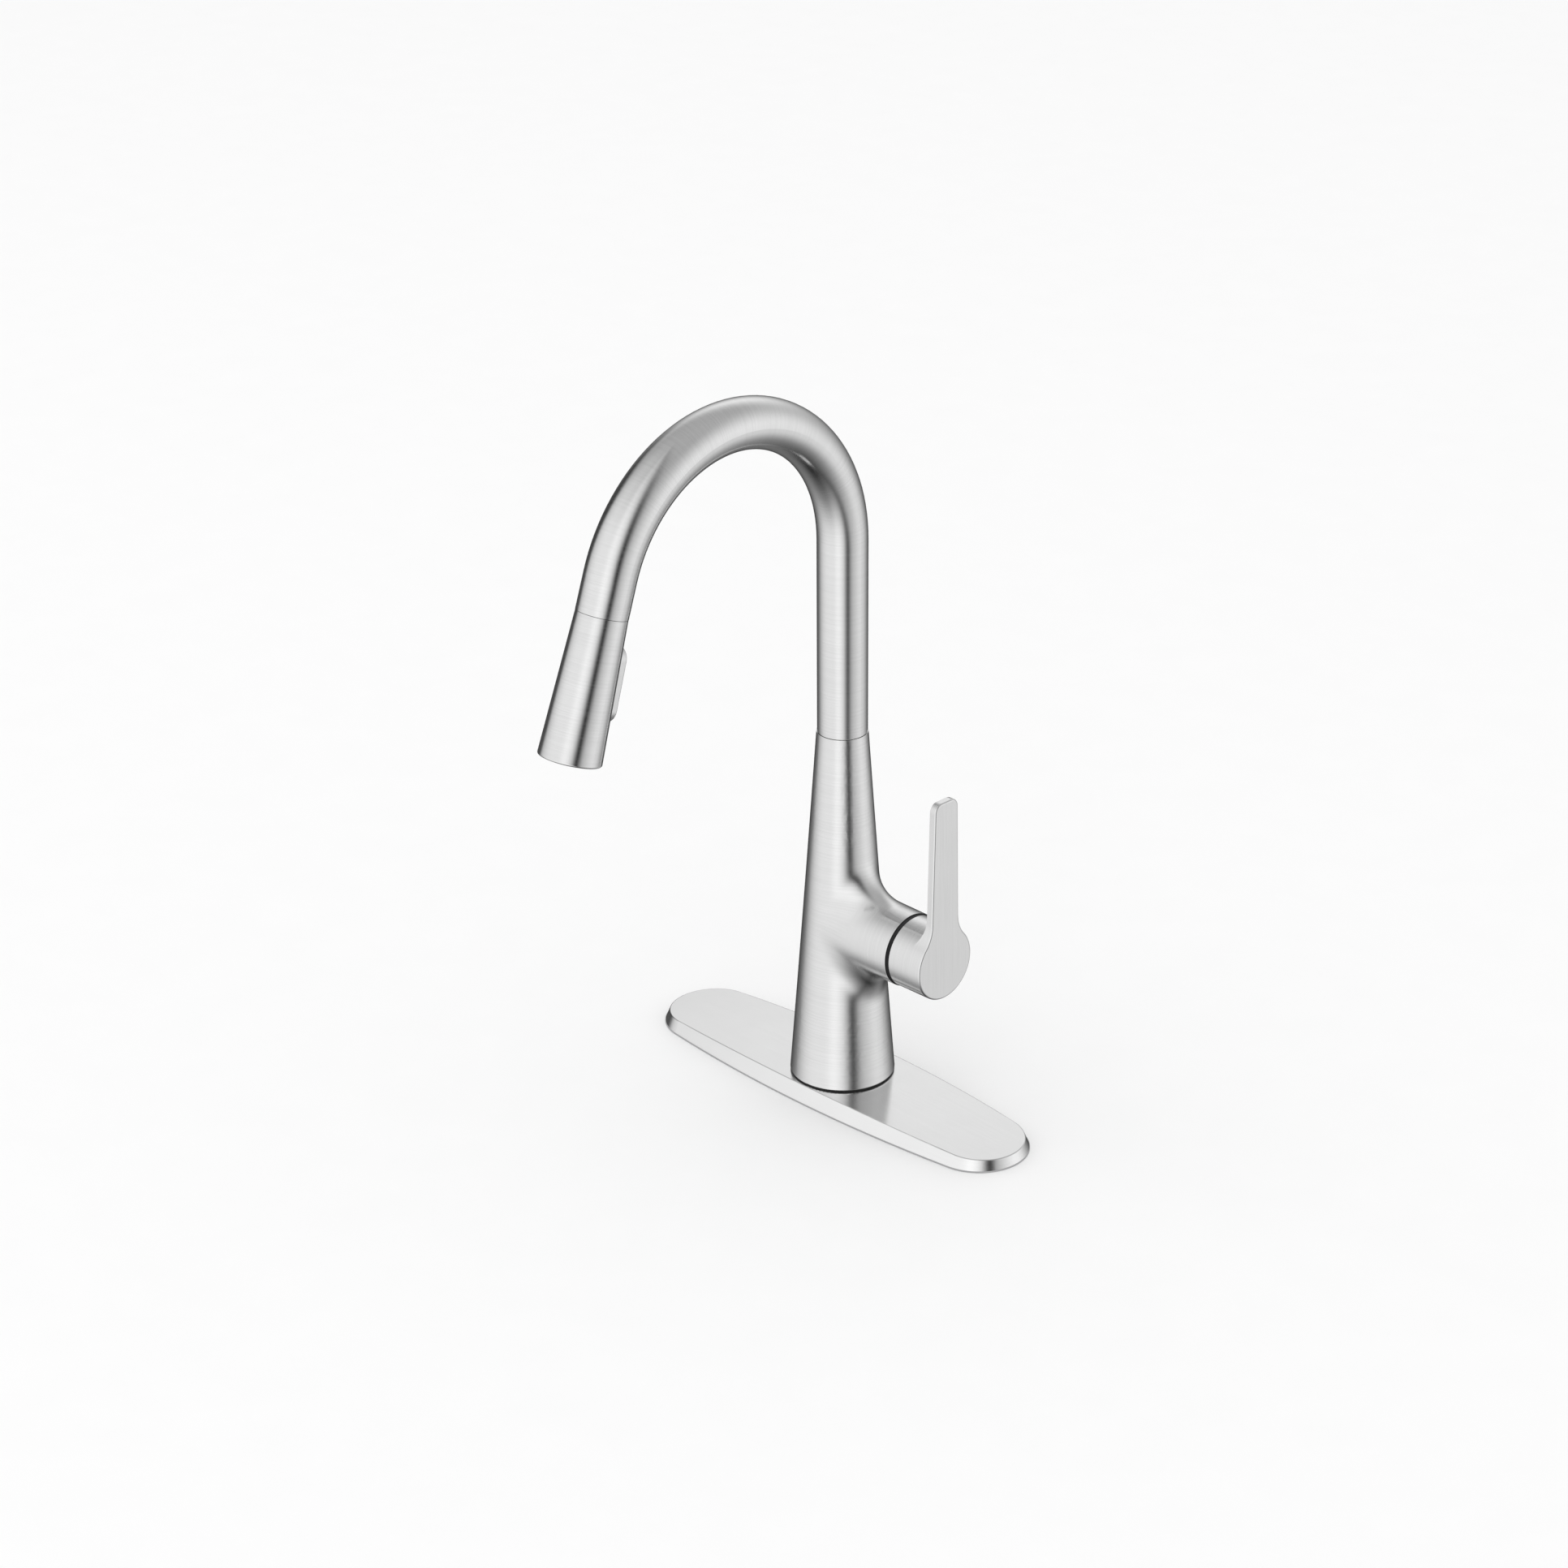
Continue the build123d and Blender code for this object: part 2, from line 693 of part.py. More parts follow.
# Cartridge nut: bears on the housing's shoulder
with BuildPart() as cartridge_nut:
    with BuildSketch(across_branch(housing_shoulder_x)):
        Circle(housing_radius)
    extrude(amount=retaining_nut_thread_x - housing_shoulder_x)
    with BuildSketch(across_branch(retaining_nut_thread_x)):
        Circle(nut_thread_bore - slip)
    extrude(amount=retaining_nut_end_x - retaining_nut_thread_x)
    with BuildSketch(across_branch(housing_shoulder_x)):
        Circle(housing_neck_radius + slip)
    extrude(amount=retaining_nut_end_x - housing_shoulder_x, mode=Mode.SUBTRACT)
cartridge_nut.part.label = "cartridge_nut"
export_step(cartridge_nut.part, "parts/cartridge_nut.step")

# Bonnet: a dome about the pivot, with a fan-shaped opening for the stem
dome_reach = branch_end_x - pivot_x
dome_foot = sqrt(dome_radius**2 - dome_reach**2)
inner_radius = dome_radius - dome_wall
inner_foot = sqrt(inner_radius**2 - dome_reach**2)
skirt_x = valve_flange_x + valve_flange_width
turn = radians(turn_deg)
stem_room = stem_width / 2 + 2 * loose
fan_apex = stem_room / sin(turn)
fan_spread = (bonnet_fan_radius + fan_apex) * tan(turn)

with BuildPart() as bonnet:
    with BuildSketch(Plane.XZ):
        with BuildLine():
            lean = atan2(dome_foot, dome_reach) / 2
            Line((pivot_x, branch_z), (branch_end_x, branch_z + dome_foot))
            ThreePointArc(
                (branch_end_x, branch_z + dome_foot),
                (pivot_x + dome_radius * cos(lean), branch_z + dome_radius * sin(lean)),
                (pivot_x + dome_radius, branch_z),
            )
            Line((pivot_x + dome_radius, branch_z), (pivot_x, branch_z))
        make_face()
    revolve(axis=branch_axis)
    with BuildSketch(across_branch(pivot_x)):
        Circle(dome_radius)
    extrude(amount=dome_reach, mode=Mode.SUBTRACT)
    with BuildSketch(across_branch(skirt_x)):
        Circle(bonnet_skirt_radius)
    extrude(amount=branch_end_x - skirt_x)
    with BuildSketch(across_branch(skirt_x)):
        Circle(bonnet_skirt_radius - bonnet_skirt_wall)
    extrude(amount=branch_end_x - skirt_x, mode=Mode.SUBTRACT)
    with BuildSketch(Plane.XZ):
        with BuildLine():
            lean = atan2(inner_foot, dome_reach) / 2
            ThreePointArc(
                (branch_end_x, branch_z + inner_foot),
                (pivot_x + inner_radius * cos(lean), branch_z + inner_radius * sin(lean)),
                (pivot_x + inner_radius, branch_z),
            )
            Polyline(
                (pivot_x + inner_radius, branch_z),
                (branch_end_x, branch_z),
                (branch_end_x, branch_z + inner_foot),
            )
        make_face()
    revolve(axis=branch_axis, mode=Mode.SUBTRACT)
    with BuildSketch(across_branch(skirt_x)):
        with BuildLine():
            Polyline(
                (0, fan_apex),
                (fan_spread, -bonnet_fan_radius),
                (-fan_spread, -bonnet_fan_radius),
                close=True,
            )
        make_face()
        Circle(bonnet_fan_radius, mode=Mode.INTERSECT)
        Circle(sqrt(2) * stem_room)
    extrude(amount=dome_radius, mode=Mode.SUBTRACT)
bonnet.part.label = "bonnet"
export_step(bonnet.part, "parts/bonnet.step")

# Handle: the lever's outline grows out of the hub's face, and a scoop thins it to a blade
with BuildPart() as handle:
    with BuildSketch(across_branch(scoop_root_x)) as lever_outline:
        with BuildLine():
            Polyline(
                (-lever_low_width / 2, 0),
                (lever_low_width / 2, 0),
                (lever_top_width / 2, lever_height),
                (-lever_top_width / 2, lever_height),
                close=True,
            )
        make_face()
        fillet(lever_outline.vertices().group_by(Axis.Y)[-1], lever_corner_radius)
        Circle(hub_radius)
        root_vertices = lever_outline.vertices().filter_by(lambda v: 0 < v.Y < hub_radius)
        fillet(root_vertices, lever_blend)
    extrude(amount=hub_face_x - scoop_root_x)
    with BuildSketch(Plane.XZ):
        with BuildLine():
            scoop_z = branch_z + scoop_start
            scoop_centre_x = blade_back_x - scoop_radius
            drop = sqrt(scoop_radius**2 - (scoop_root_x - scoop_centre_x) ** 2)
            sweep_deg = degrees(atan2(drop, scoop_root_x - scoop_centre_x))
            CenterArc((scoop_centre_x, scoop_z), scoop_radius, 0, -sweep_deg)
            Polyline(
                (scoop_root_x, scoop_z - drop),
                (scoop_root_x, branch_z - hub_radius),
                (hub_face_x, branch_z - hub_radius),
                (hub_face_x, branch_z + lever_height),
                (blade_back_x, branch_z + lever_height),
                (blade_back_x, scoop_z),
            )
        make_face()
    extrude(amount=hub_radius, both=True, mode=Mode.INTERSECT)
    with BuildSketch(across_branch(hub_back_x)):
        Circle(hub_radius)
    extrude(amount=hub_face_x - hub_back_x)
    fillet(handle.faces().sort_by(Axis.X)[-1].edges(), hub_edge_radius)
    with BuildSketch(across_branch(hub_back_x)):
        Circle(hub_radius - hub_wall)
    extrude(amount=hub_pocket_x - hub_back_x, mode=Mode.SUBTRACT)
    with BuildSketch(across_branch(hub_pocket_x)):
        Circle(hub_radius - hub_wall)
        Circle(boss_radius, mode=Mode.SUBTRACT)
        with Locations((0, -hub_radius / 2)):
            Rectangle(screw_rib_width, hub_radius, mode=Mode.SUBTRACT)
    extrude(amount=hub_face_x - hub_floor - hub_pocket_x, mode=Mode.SUBTRACT)
    with BuildSketch(across_branch(hub_pocket_x)):
        Rectangle(stem_width + 2 * slip, stem_width + 2 * slip)
    extrude(amount=stem_tip_x + slip - hub_pocket_x, mode=Mode.SUBTRACT)
    with BuildSketch(Plane.XY.offset(branch_z - hub_radius)):
        with Locations((set_screw_x, 0)):
            Circle(set_screw_radius + slip)
    extrude(amount=hub_radius - stem_width / 2, mode=Mode.SUBTRACT)
    with BuildSketch(Plane.XY.offset(branch_z - hub_radius)):
        with Locations((set_screw_x, 0)):
            Circle(screw_plug_radius + slip)
    extrude(amount=screw_plug_length, mode=Mode.SUBTRACT)
handle.part.label = "handle"
export_step(handle.part, "parts/handle.step")

# Set screw against the stem, and the plug over it
with BuildPart() as set_screw:
    with BuildSketch(Plane.XY.offset(branch_z - stem_width / 2 - set_screw_length)):
        with Locations((set_screw_x, 0)):
            Circle(set_screw_radius)
    extrude(amount=set_screw_length)
    with BuildSketch(Plane.XY.offset(branch_z - stem_width / 2 - set_screw_length)):
        with Locations((set_screw_x, 0)):
            RegularPolygon(set_screw_radius / 2, 6, major_radius=False)
    extrude(amount=set_screw_radius, mode=Mode.SUBTRACT)
set_screw.part.label = "set_screw"
export_step(set_screw.part, "parts/set_screw.step")

with BuildPart() as screw_plug:
    with BuildSketch(Plane.XY.offset(branch_z - hub_radius + screw_plug_length)):
        with Locations((set_screw_x, 0)):
            Circle(screw_plug_radius)
    extrude(amount=-screw_plug_length)
screw_plug.part.label = "screw_plug"
export_step(screw_plug.part, "parts/screw_plug.step")

# Gooseneck: one bent tube, straight, round and straight again
with BuildPart() as gooseneck:
    with BuildLine(Plane.YZ):
        riser = Line((0, body_top_z + seam), (0, arc_start_z))
        bend = JernArc(start=riser @ 1, tangent=riser % 1, radius=arc_radius, arc_size=arc_deg)
        Line(bend @ 1, bend @ 1 + (bend % 1) * tail_length)
    with BuildSketch(Plane.XY.offset(body_top_z + seam)):
        Circle(tube_radius)
        Circle(tube_bore, mode=Mode.SUBTRACT)
    sweep()
gooseneck.part.label = "gooseneck"
export_step(gooseneck.part, "parts/gooseneck.step")

# Thrust washer in the hairline joint between tube and body
with BuildPart() as thrust_washer:
    with BuildSketch(Plane.XY.offset(body_top_z)):
        Circle(tube_radius - seam)
        Circle(spigot_radius + slip, mode=Mode.SUBTRACT)
    extrude(amount=seam)
thrust_washer.part.label = "thrust_washer"
export_step(thrust_washer.part, "parts/thrust_washer.step")

# Spigot: fixed in the tube's lower end, with grooves for two glide rings and a clip
glide_places = [swivel_floor_z + glide_width, body_top_z - 2 * glide_width]
clip_z = swivel_floor_z - loose - clip_width

with BuildPart() as spout_spigot:
    with BuildSketch(Plane.XY.offset(body_top_z + seam)):
        Circle(tube_bore - slip)
    extrude(amount=spigot_insert)
    with BuildSketch(Plane.XY.offset(clip_z - 2 * clip_width)):
        Circle(spigot_radius)
    extrude(amount=body_top_z + seam - clip_z + 2 * clip_width)
    for ring_z in glide_places:
        with BuildSketch(Plane.XY.offset(ring_z)):
            Circle(spigot_radius)
            Circle(spigot_radius - glide_groove, mode=Mode.SUBTRACT)
        extrude(amount=glide_width, mode=Mode.SUBTRACT)
    with BuildSketch(Plane.XY.offset(clip_z)):
        Circle(spigot_radius)
        Circle(spigot_radius - glide_groove, mode=Mode.SUBTRACT)
    extrude(amount=clip_width, mode=Mode.SUBTRACT)
    with BuildSketch(Plane.XY.offset(clip_z - 2 * clip_width)):
        Circle(spigot_bore)
    extrude(amount=body_top_z + seam + spigot_insert - clip_z + 2 * clip_width, mode=Mode.SUBTRACT)
spout_spigot.part.label = "spout_spigot"
export_step(spout_spigot.part, "parts/spout_spigot.step")

with BuildPart() as glide_rings:
    for ring_z in glide_places:
        with BuildSketch(Plane.XY.offset(ring_z + slip)):
            Circle(swivel_bore - running)
            Circle(spigot_radius - glide_groove + slip, mode=Mode.SUBTRACT)
        extrude(amount=glide_width - 2 * slip)
glide_rings.part.label = "glide_rings"
export_step(glide_rings.part, "parts/glide_rings.step")

# Open clip under the bore's floor, which keeps the spout from lifting out
with BuildPart() as spout_clip:
    with BuildSketch(Plane.XY.offset(clip_z + slip)):
        Circle(clip_radius)
        Circle(spigot_radius - glide_groove + slip, mode=Mode.SUBTRACT)
        with Locations((0, clip_radius)):
            Rectangle(clip_opening, 2 * clip_radius, mode=Mode.SUBTRACT)
    extrude(amount=clip_width - 2 * slip)
spout_clip.part.label = "spout_clip"
export_step(spout_clip.part, "parts/spout_clip.step")

# Docking sleeve in the spout's end
with BuildPart() as dock_sleeve:
    with BuildSketch(across_spray(-dock_length)):
        Circle(tube_bore - slip)
        Circle(dock_bore, mode=Mode.SUBTRACT)
    extrude(amount=dock_length - seam)
    mouth_edge = dock_sleeve.edges().filter_by(GeomType.CIRCLE).sort_by(Axis.Z)[0:2].sort_by(SortBy.RADIUS)[0]
    chamfer(mouth_edge, dock_chamfer)
dock_sleeve.part.label = "dock_sleeve"
export_step(dock_sleeve.part, "parts/dock_sleeve.step")

# Planes on the spray's back: along the shell's slope, at a depth below its surface
slope = atan2(spray_face_radius - spray_top_radius, spray_length)
rocker_along = spray_axis_dir * cos(slope) + spray_back_dir * sin(slope)
rocker_out = spray_back_dir * cos(slope) - spray_axis_dir * sin(slope)
rocker_middle = spray_top + spray_axis_dir * rocker_s + spray_back_dir * spray_radius(rocker_s)
rocker_swing = (rocker_pin_depth + rocker_stand) * sin(radians(rocker_deg))


def on_back(height):
    """Plane over the middle of the rocker: local x runs down the spray, the normal points out of its back."""
    return Plane(origin=rocker_middle + rocker_out * height, x_dir=rocker_along, z_dir=rocker_out)


def side_of_rocker(x):
    """Plane square to the rocker's pin at x: local x runs down the spray, local y out of its back."""
    return Plane(
        origin=rocker_middle - rocker_out * rocker_pin_depth + Vector(x, 0, 0),
        x_dir=rocker_along,
        z_dir=(1, 0, 0),
    )


# Spray shell: a tapered sleeve with a window for the rocker
with BuildPart() as spray_shell:
    with BuildSketch(spray_section):
        with BuildLine():
            Polyline(
                (spray_radius(seam) - spray_wall, seam),
                (spray_radius(seam), seam),
                (spray_face_radius, spray_length),
                (spray_face_radius - spray_wall, spray_length),
                close=True,
            )
        make_face()
    revolve(axis=spray_axis)
    rim_edges = spray_shell.edges().filter_by(GeomType.CIRCLE).sort_by(SortBy.RADIUS)
    fillet(rim_edges[-1], spray_edge_radius)
    with BuildSketch(on_back(-rocker_depth - rocker_gap)):
        SlotOverall(rocker_length + 2 * (rocker_gap + rocker_swing), rocker_width + 2 * rocker_gap)
    extrude(amount=rocker_depth + rocker_gap + rocker_stand, mode=Mode.SUBTRACT)
spray_shell.part.label = "spray_shell"
export_step(spray_shell.part, "parts/spray_shell.step")

# Collar: closes the shell's top and carries the spigot that docks in the spout
with BuildPart() as spray_collar:
    with BuildSketch(across_spray(2 * seam)):
        Circle(spray_radius(0) - spray_wall - slip)
    extrude(amount=collar_depth - 2 * seam)
    with BuildSketch(across_spray(-collar_spigot_length)):
        Circle(dock_bore - loose)
    extrude(amount=collar_spigot_length + 2 * seam)
    with BuildSketch(across_spray(-collar_spigot_length)):
        Circle(coupling_radius + slip)
    extrude(amount=collar_spigot_length + collar_depth, mode=Mode.SUBTRACT)
    chamfer(spray_collar.faces().sort_by(spray_axis)[0].edges().sort_by(SortBy.RADIUS)[-1], dock_chamfer)
spray_collar.part.label = "spray_collar"
export_step(spray_collar.part, "parts/spray_collar.step")

# Hose coupling through the collar, with a check valve in its bore
coupling_top = -collar_spigot_length - coupling_hex_height - coupling_thread_length
with BuildPart() as hose_coupling:
    with BuildSketch(across_spray(coupling_top)):
        Circle(coupling_thread_radius)
    extrude(amount=coupling_thread_length)
    with BuildSketch(across_spray(coupling_top + coupling_thread_length)):
        RegularPolygon(coupling_hex_flats / 2, 6, major_radius=False)
    extrude(amount=coupling_hex_height)
    with BuildSketch(across_spray(-collar_spigot_length)):
        Circle(coupling_radius)
    extrude(amount=collar_spigot_length + collar_depth)
    with BuildSketch(across_spray(coupling_top)):
        Circle(coupling_bore)
    extrude(amount=collar_depth - coupling_top, mode=Mode.SUBTRACT)
hose_coupling.part.label = "hose_coupling"
export_step(hose_coupling.part, "parts/hose_coupling.step")

with BuildPart() as check_valve:
    with BuildSketch(across_spray(collar_depth - check_valve_length)):
        Circle(coupling_bore - slip)
    extrude(amount=check_valve_length)
    with BuildSketch(across_spray(collar_depth - check_valve_length)):
        Circle(coupling_bore / 2)
    extrude(amount=check_valve_length / 2, mode=Mode.SUBTRACT)
check_valve.part.label = "check_valve"
export_step(check_valve.part, "parts/check_valve.step")

# Core: the plastic waterway in the shell, with ears for the rocker's pin and a bore for the spool
ear_inner = rocker_lug_width / 2 + loose
ear_height = rocker_pin_depth - rocker_depth - 2 * loose
spool_travel = arm_length * sin(radians(rocker_deg))
spool_start = rocker_s - spool_length / 2
spool_end = rocker_s + spool_length / 2
with BuildPart() as spray_core:
    with BuildSketch(across_spray(collar_depth)):
        Circle(core_radius)
    extrude(amount=core_flange_s - collar_depth)
    with BuildSketch(across_spray(core_flange_s)):
        Circle(core_flange_radius)
    extrude(amount=core_end_s - core_flange_s)
    for side in (-1, 1):
        with BuildSketch(side_of_rocker(side * (ear_inner + ear_width / 2))):
            Rectangle(2 * rocker_lug_radius, 2 * ear_height)
            with Locations((0, -rocker_pin_depth / 2)):
                Rectangle(2 * rocker_lug_radius, rocker_pin_depth)
        extrude(amount=ear_width / 2, both=True)
    with BuildSketch(across_spray(spool_start - 2 * spool_travel)):
        with Locations((0, -spool_axis)):
            Circle(spool_radius + slip)
    extrude(amount=spool_length + 4 * spool_travel, mode=Mode.SUBTRACT)
    with BuildSketch(side_of_rocker(0)):
        Circle(rocker_lug_radius + loose)
        with Locations((0, -arm_length / 2)):
            Rectangle(2 * rocker_lug_radius, arm_length + 2 * loose)
    extrude(amount=ear_inner, both=True, mode=Mode.SUBTRACT)
    with BuildSketch(side_of_rocker(0)):
        Circle(rocker_pin_radius + running)
    extrude(amount=ear_inner + ear_width, both=True, mode=Mode.SUBTRACT)
    with BuildSketch(across_spray(collar_depth)):
        Circle(coupling_bore)
    extrude(amount=spool_start - collar_depth, mode=Mode.SUBTRACT)
    with BuildSketch(across_spray(spool_end)):
        Circle(coupling_bore)
    extrude(amount=core_end_s - spool_end, mode=Mode.SUBTRACT)
spray_core.part.label = "spray_core"
export_step(spray_core.part, "parts/spray_core.step")

with BuildPart() as rocker_pin:
    with BuildSketch(side_of_rocker(0)):
        Circle(rocker_pin_radius)
    extrude(amount=ear_inner + ear_width, both=True)
rocker_pin.part.label = "rocker_pin"
export_step(rocker_pin.part, "parts/rocker_pin.step")

# Rocker: a pill-shaped button on a lug, with an arm that pushes the spool
with BuildPart() as spray_rocker:
    with BuildSketch(on_back(-rocker_depth)):
        SlotOverall(rocker_length, rocker_width)
    extrude(amount=rocker_depth + rocker_stand)
    fillet(spray_rocker.faces().sort_by(Axis(rocker_middle, rocker_out))[-1].edges(), rocker_edge_radius)
    with BuildSketch(side_of_rocker(0)):
        Circle(rocker_lug_radius)
        with Locations((0, (rocker_pin_depth - rocker_depth) / 2)):
            Rectangle(2 * rocker_lug_radius, rocker_pin_depth - rocker_depth)
    extrude(amount=rocker_lug_width / 2, both=True)
    with BuildSketch(side_of_rocker(0)):
        with Locations((0, -arm_length / 2)):
            Rectangle(arm_width, arm_length)
    extrude(amount=arm_width / 2, both=True)
    with BuildSketch(side_of_rocker(0)):
        Circle(rocker_pin_radius + running)
    extrude(amount=rocker_lug_width, both=True, mode=Mode.SUBTRACT)
spray_rocker.part.label = "spray_rocker"
export_step(spray_rocker.part, "parts/spray_rocker.step")

# Diverter spool: slides along the spray, moved by the rocker's arm in its slot
with BuildPart() as diverter_spool:
    with BuildSketch(across_spray(spool_start)):
        with Locations((0, -spool_axis)):
            Circle(spool_radius)
    extrude(amount=spool_length)
    with BuildSketch(side_of_rocker(0)):
        with Locations((0, spool_radius - arm_length - loose)):
            Rectangle(arm_width + 2 * loose, 2 * spool_radius)
    extrude(amount=spool_radius, both=True, mode=Mode.SUBTRACT)
diverter_spool.part.label = "diverter_spool"
export_step(diverter_spool.part, "parts/diverter_spool.step")

# Spray face, the rubber mat behind it with one nozzle in each hole, and the aerator in the middle
face_radius = spray_radius(face_s) - spray_wall - slip

with BuildPart() as spray_face:
    with BuildSketch(across_spray(face_s)):
        Circle(face_radius)
        Circle(aerator_radius + slip, mode=Mode.SUBTRACT)
        with PolarLocations(nozzle_circle, nozzle_count):
            Circle(nozzle_radius + slip, mode=Mode.SUBTRACT)
    extrude(amount=face_thickness)
spray_face.part.label = "spray_face"
export_step(spray_face.part, "parts/spray_face.step")

with BuildPart() as nozzle_mat:
    with BuildSketch(across_spray(mat_s)):
        Circle(core_flange_radius)
        Circle(aerator_radius + slip, mode=Mode.SUBTRACT)
    extrude(amount=mat_thickness)
    with BuildSketch(across_spray(face_s)):
        with PolarLocations(nozzle_circle, nozzle_count):
            Circle(nozzle_radius)
    extrude(amount=face_thickness + nozzle_stand)
nozzle_mat.part.label = "nozzle_mat"
export_step(nozzle_mat.part, "parts/nozzle_mat.step")

with BuildPart() as aerator:
    with BuildSketch(across_spray(core_end_s)):
        Circle(aerator_radius)
    extrude(amount=spray_length - face_recess - core_end_s)
    with BuildSketch(across_spray(core_end_s)):
        with GridLocations(aerator_pitch, aerator_pitch, aerator_rows, aerator_rows):
            Circle(aerator_hole)
    extrude(amount=spray_length - core_end_s, mode=Mode.SUBTRACT)
aerator.part.label = "aerator"
export_step(aerator.part, "parts/aerator.step")
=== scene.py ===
import json
from math import cos, pi, radians, sin

import bpy
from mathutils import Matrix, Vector


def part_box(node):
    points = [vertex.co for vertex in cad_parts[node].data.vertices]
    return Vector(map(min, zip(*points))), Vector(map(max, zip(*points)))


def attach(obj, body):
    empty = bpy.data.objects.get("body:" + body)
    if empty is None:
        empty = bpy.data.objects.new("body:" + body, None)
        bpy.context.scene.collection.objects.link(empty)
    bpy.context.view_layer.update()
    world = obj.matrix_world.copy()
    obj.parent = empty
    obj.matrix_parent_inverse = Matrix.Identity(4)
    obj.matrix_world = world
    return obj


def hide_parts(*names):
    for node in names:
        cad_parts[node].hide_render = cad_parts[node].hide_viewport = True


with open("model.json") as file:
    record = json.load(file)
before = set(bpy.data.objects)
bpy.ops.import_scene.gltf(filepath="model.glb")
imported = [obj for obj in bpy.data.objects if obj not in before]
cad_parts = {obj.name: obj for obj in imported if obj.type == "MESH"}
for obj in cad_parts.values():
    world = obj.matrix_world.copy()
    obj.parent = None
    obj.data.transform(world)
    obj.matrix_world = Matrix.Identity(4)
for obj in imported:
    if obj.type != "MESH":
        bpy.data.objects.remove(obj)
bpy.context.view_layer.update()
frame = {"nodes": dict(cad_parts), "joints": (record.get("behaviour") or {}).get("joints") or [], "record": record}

nodes = frame["nodes"]
joints = {joint["name"]: joint for joint in frame["joints"]}
mounts = {mount["name"]: mount for mount in frame["record"]["mounts"]}
slot_of = {part["node"]: part["material_slot"] for part in frame["record"]["subparts"]}

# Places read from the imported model, and the radius of the spout's bend
SPRAY_AXIS = Vector(joints["spray_pull"]["axis"])
BRANCH_HEIGHT = joints["handle_turn"]["pos_m"][2]
BRANCH_START = joints["handle_tilt"]["pos_m"][0]
BRANCH_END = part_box("faucet_body")[1].x
NECK_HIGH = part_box("gooseneck")[1]
TUBE_RADIUS = NECK_HIGH.x
BEND_RADIUS = 0.0835
BEND_CENTRE = Vector((0, -BEND_RADIUS, NECK_HIGH.z - TUBE_RADIUS - BEND_RADIUS))
BEND_ANGLE = pi - SPRAY_AXIS.angle(Vector((0, 0, -1)))

# The photograph's camera: bearing and height above the horizon, distance to the point that it looks at
VIEW_BEARING = radians(44.38)
VIEW_HEIGHT = radians(25.19)
VIEW_TARGET = Vector((0, 0, 0.1865))
VIEW_DISTANCE = 2.1916
VIEW_LENS = 94.62
VIEW_SHIFT = (-0.0373, -0.0058)
SENSOR_WIDTH = 36.0
CLIP_END = 50.0


class Shader:
    """A node tree being built: most calls add one node and return its first output."""

    def __init__(self, tree):
        self.tree = tree

    def node(self, kind, inputs=None, **settings):
        made = self.tree.nodes.new(kind)
        for key, value in settings.items():
            setattr(made, key, value)
        for key, value in (inputs or {}).items():
            self.feed(made.inputs[key], value)
        return made

    def feed(self, socket, value):
        if isinstance(value, bpy.types.NodeSocket):
            self.tree.links.new(value, socket)
        else:
            socket.default_value = value

    def math(self, operation, *values):
        made = self.node("ShaderNodeMath", operation=operation)
        for socket, value in zip(made.inputs, values):
            self.feed(socket, value)
        return made.outputs[0]

    def vector(self, operation, *values, output="Vector"):
        made = self.node("ShaderNodeVectorMath", operation=operation)
        for socket, value in zip(made.inputs, values):
            self.feed(socket, value)
        return made.outputs[output]

    def dot(self, a, b):
        return self.vector("DOT_PRODUCT", a, b, output="Value")

    def scale(self, vector, factor):
        inputs = {"Vector": vector, "Scale": factor}
        return self.node("ShaderNodeVectorMath", inputs, operation="SCALE").outputs[0]

    def combine(self, x, y, z):
        return self.node("ShaderNodeCombineXYZ", {"X": x, "Y": y, "Z": z}).outputs[0]

    def split(self, vector):
        parts = self.node("ShaderNodeSeparateXYZ", {"Vector": vector}).outputs
        return parts["X"], parts["Y"], parts["Z"]

    def noise(self, vector, scale, detail, roughness):
        inputs = {"Vector": vector, "Scale": scale, "Detail": detail, "Roughness": roughness}
        return self.node("ShaderNodeTexNoise", inputs).outputs["Fac"]

    def ramp(self, value, low, high, to_low, to_high, smooth=True):
        kind = "SMOOTHSTEP" if smooth else "LINEAR"
        inputs = {"Value": value, "From Min": low, "From Max": high, "To Min": to_low, "To Max": to_high}
        return self.node("ShaderNodeMapRange", inputs, interpolation_type=kind).outputs[0]

    def mix(self, share, a, b):
        made = self.node("ShaderNodeMix", data_type="RGBA")
        self.feed(made.inputs["Factor"], share)
        for key, value in (("A", a), ("B", b)):
            socket = [one for one in made.inputs if one.name == key and one.type == "RGBA"][0]
            self.feed(socket, value)
        return [one for one in made.outputs if one.type == "RGBA"][0]

    def point(self):
        return self.node("ShaderNodeTexCoord").outputs["Object"]

    def normal(self):
        return self.node("ShaderNodeTexCoord").outputs["Normal"]


def new_material(name):
    material = bpy.data.materials.new(name)
    material.use_nodes = True
    tree = material.node_tree
    return material, Shader(tree), tree.nodes["Principled BSDF"]


# Axis that a brushed surface was turned about: its direction and the distance along it, at each point
def straight_axis(direction):
    def build(shader, point):
        return tuple(direction), shader.dot(point, tuple(direction))

    return build


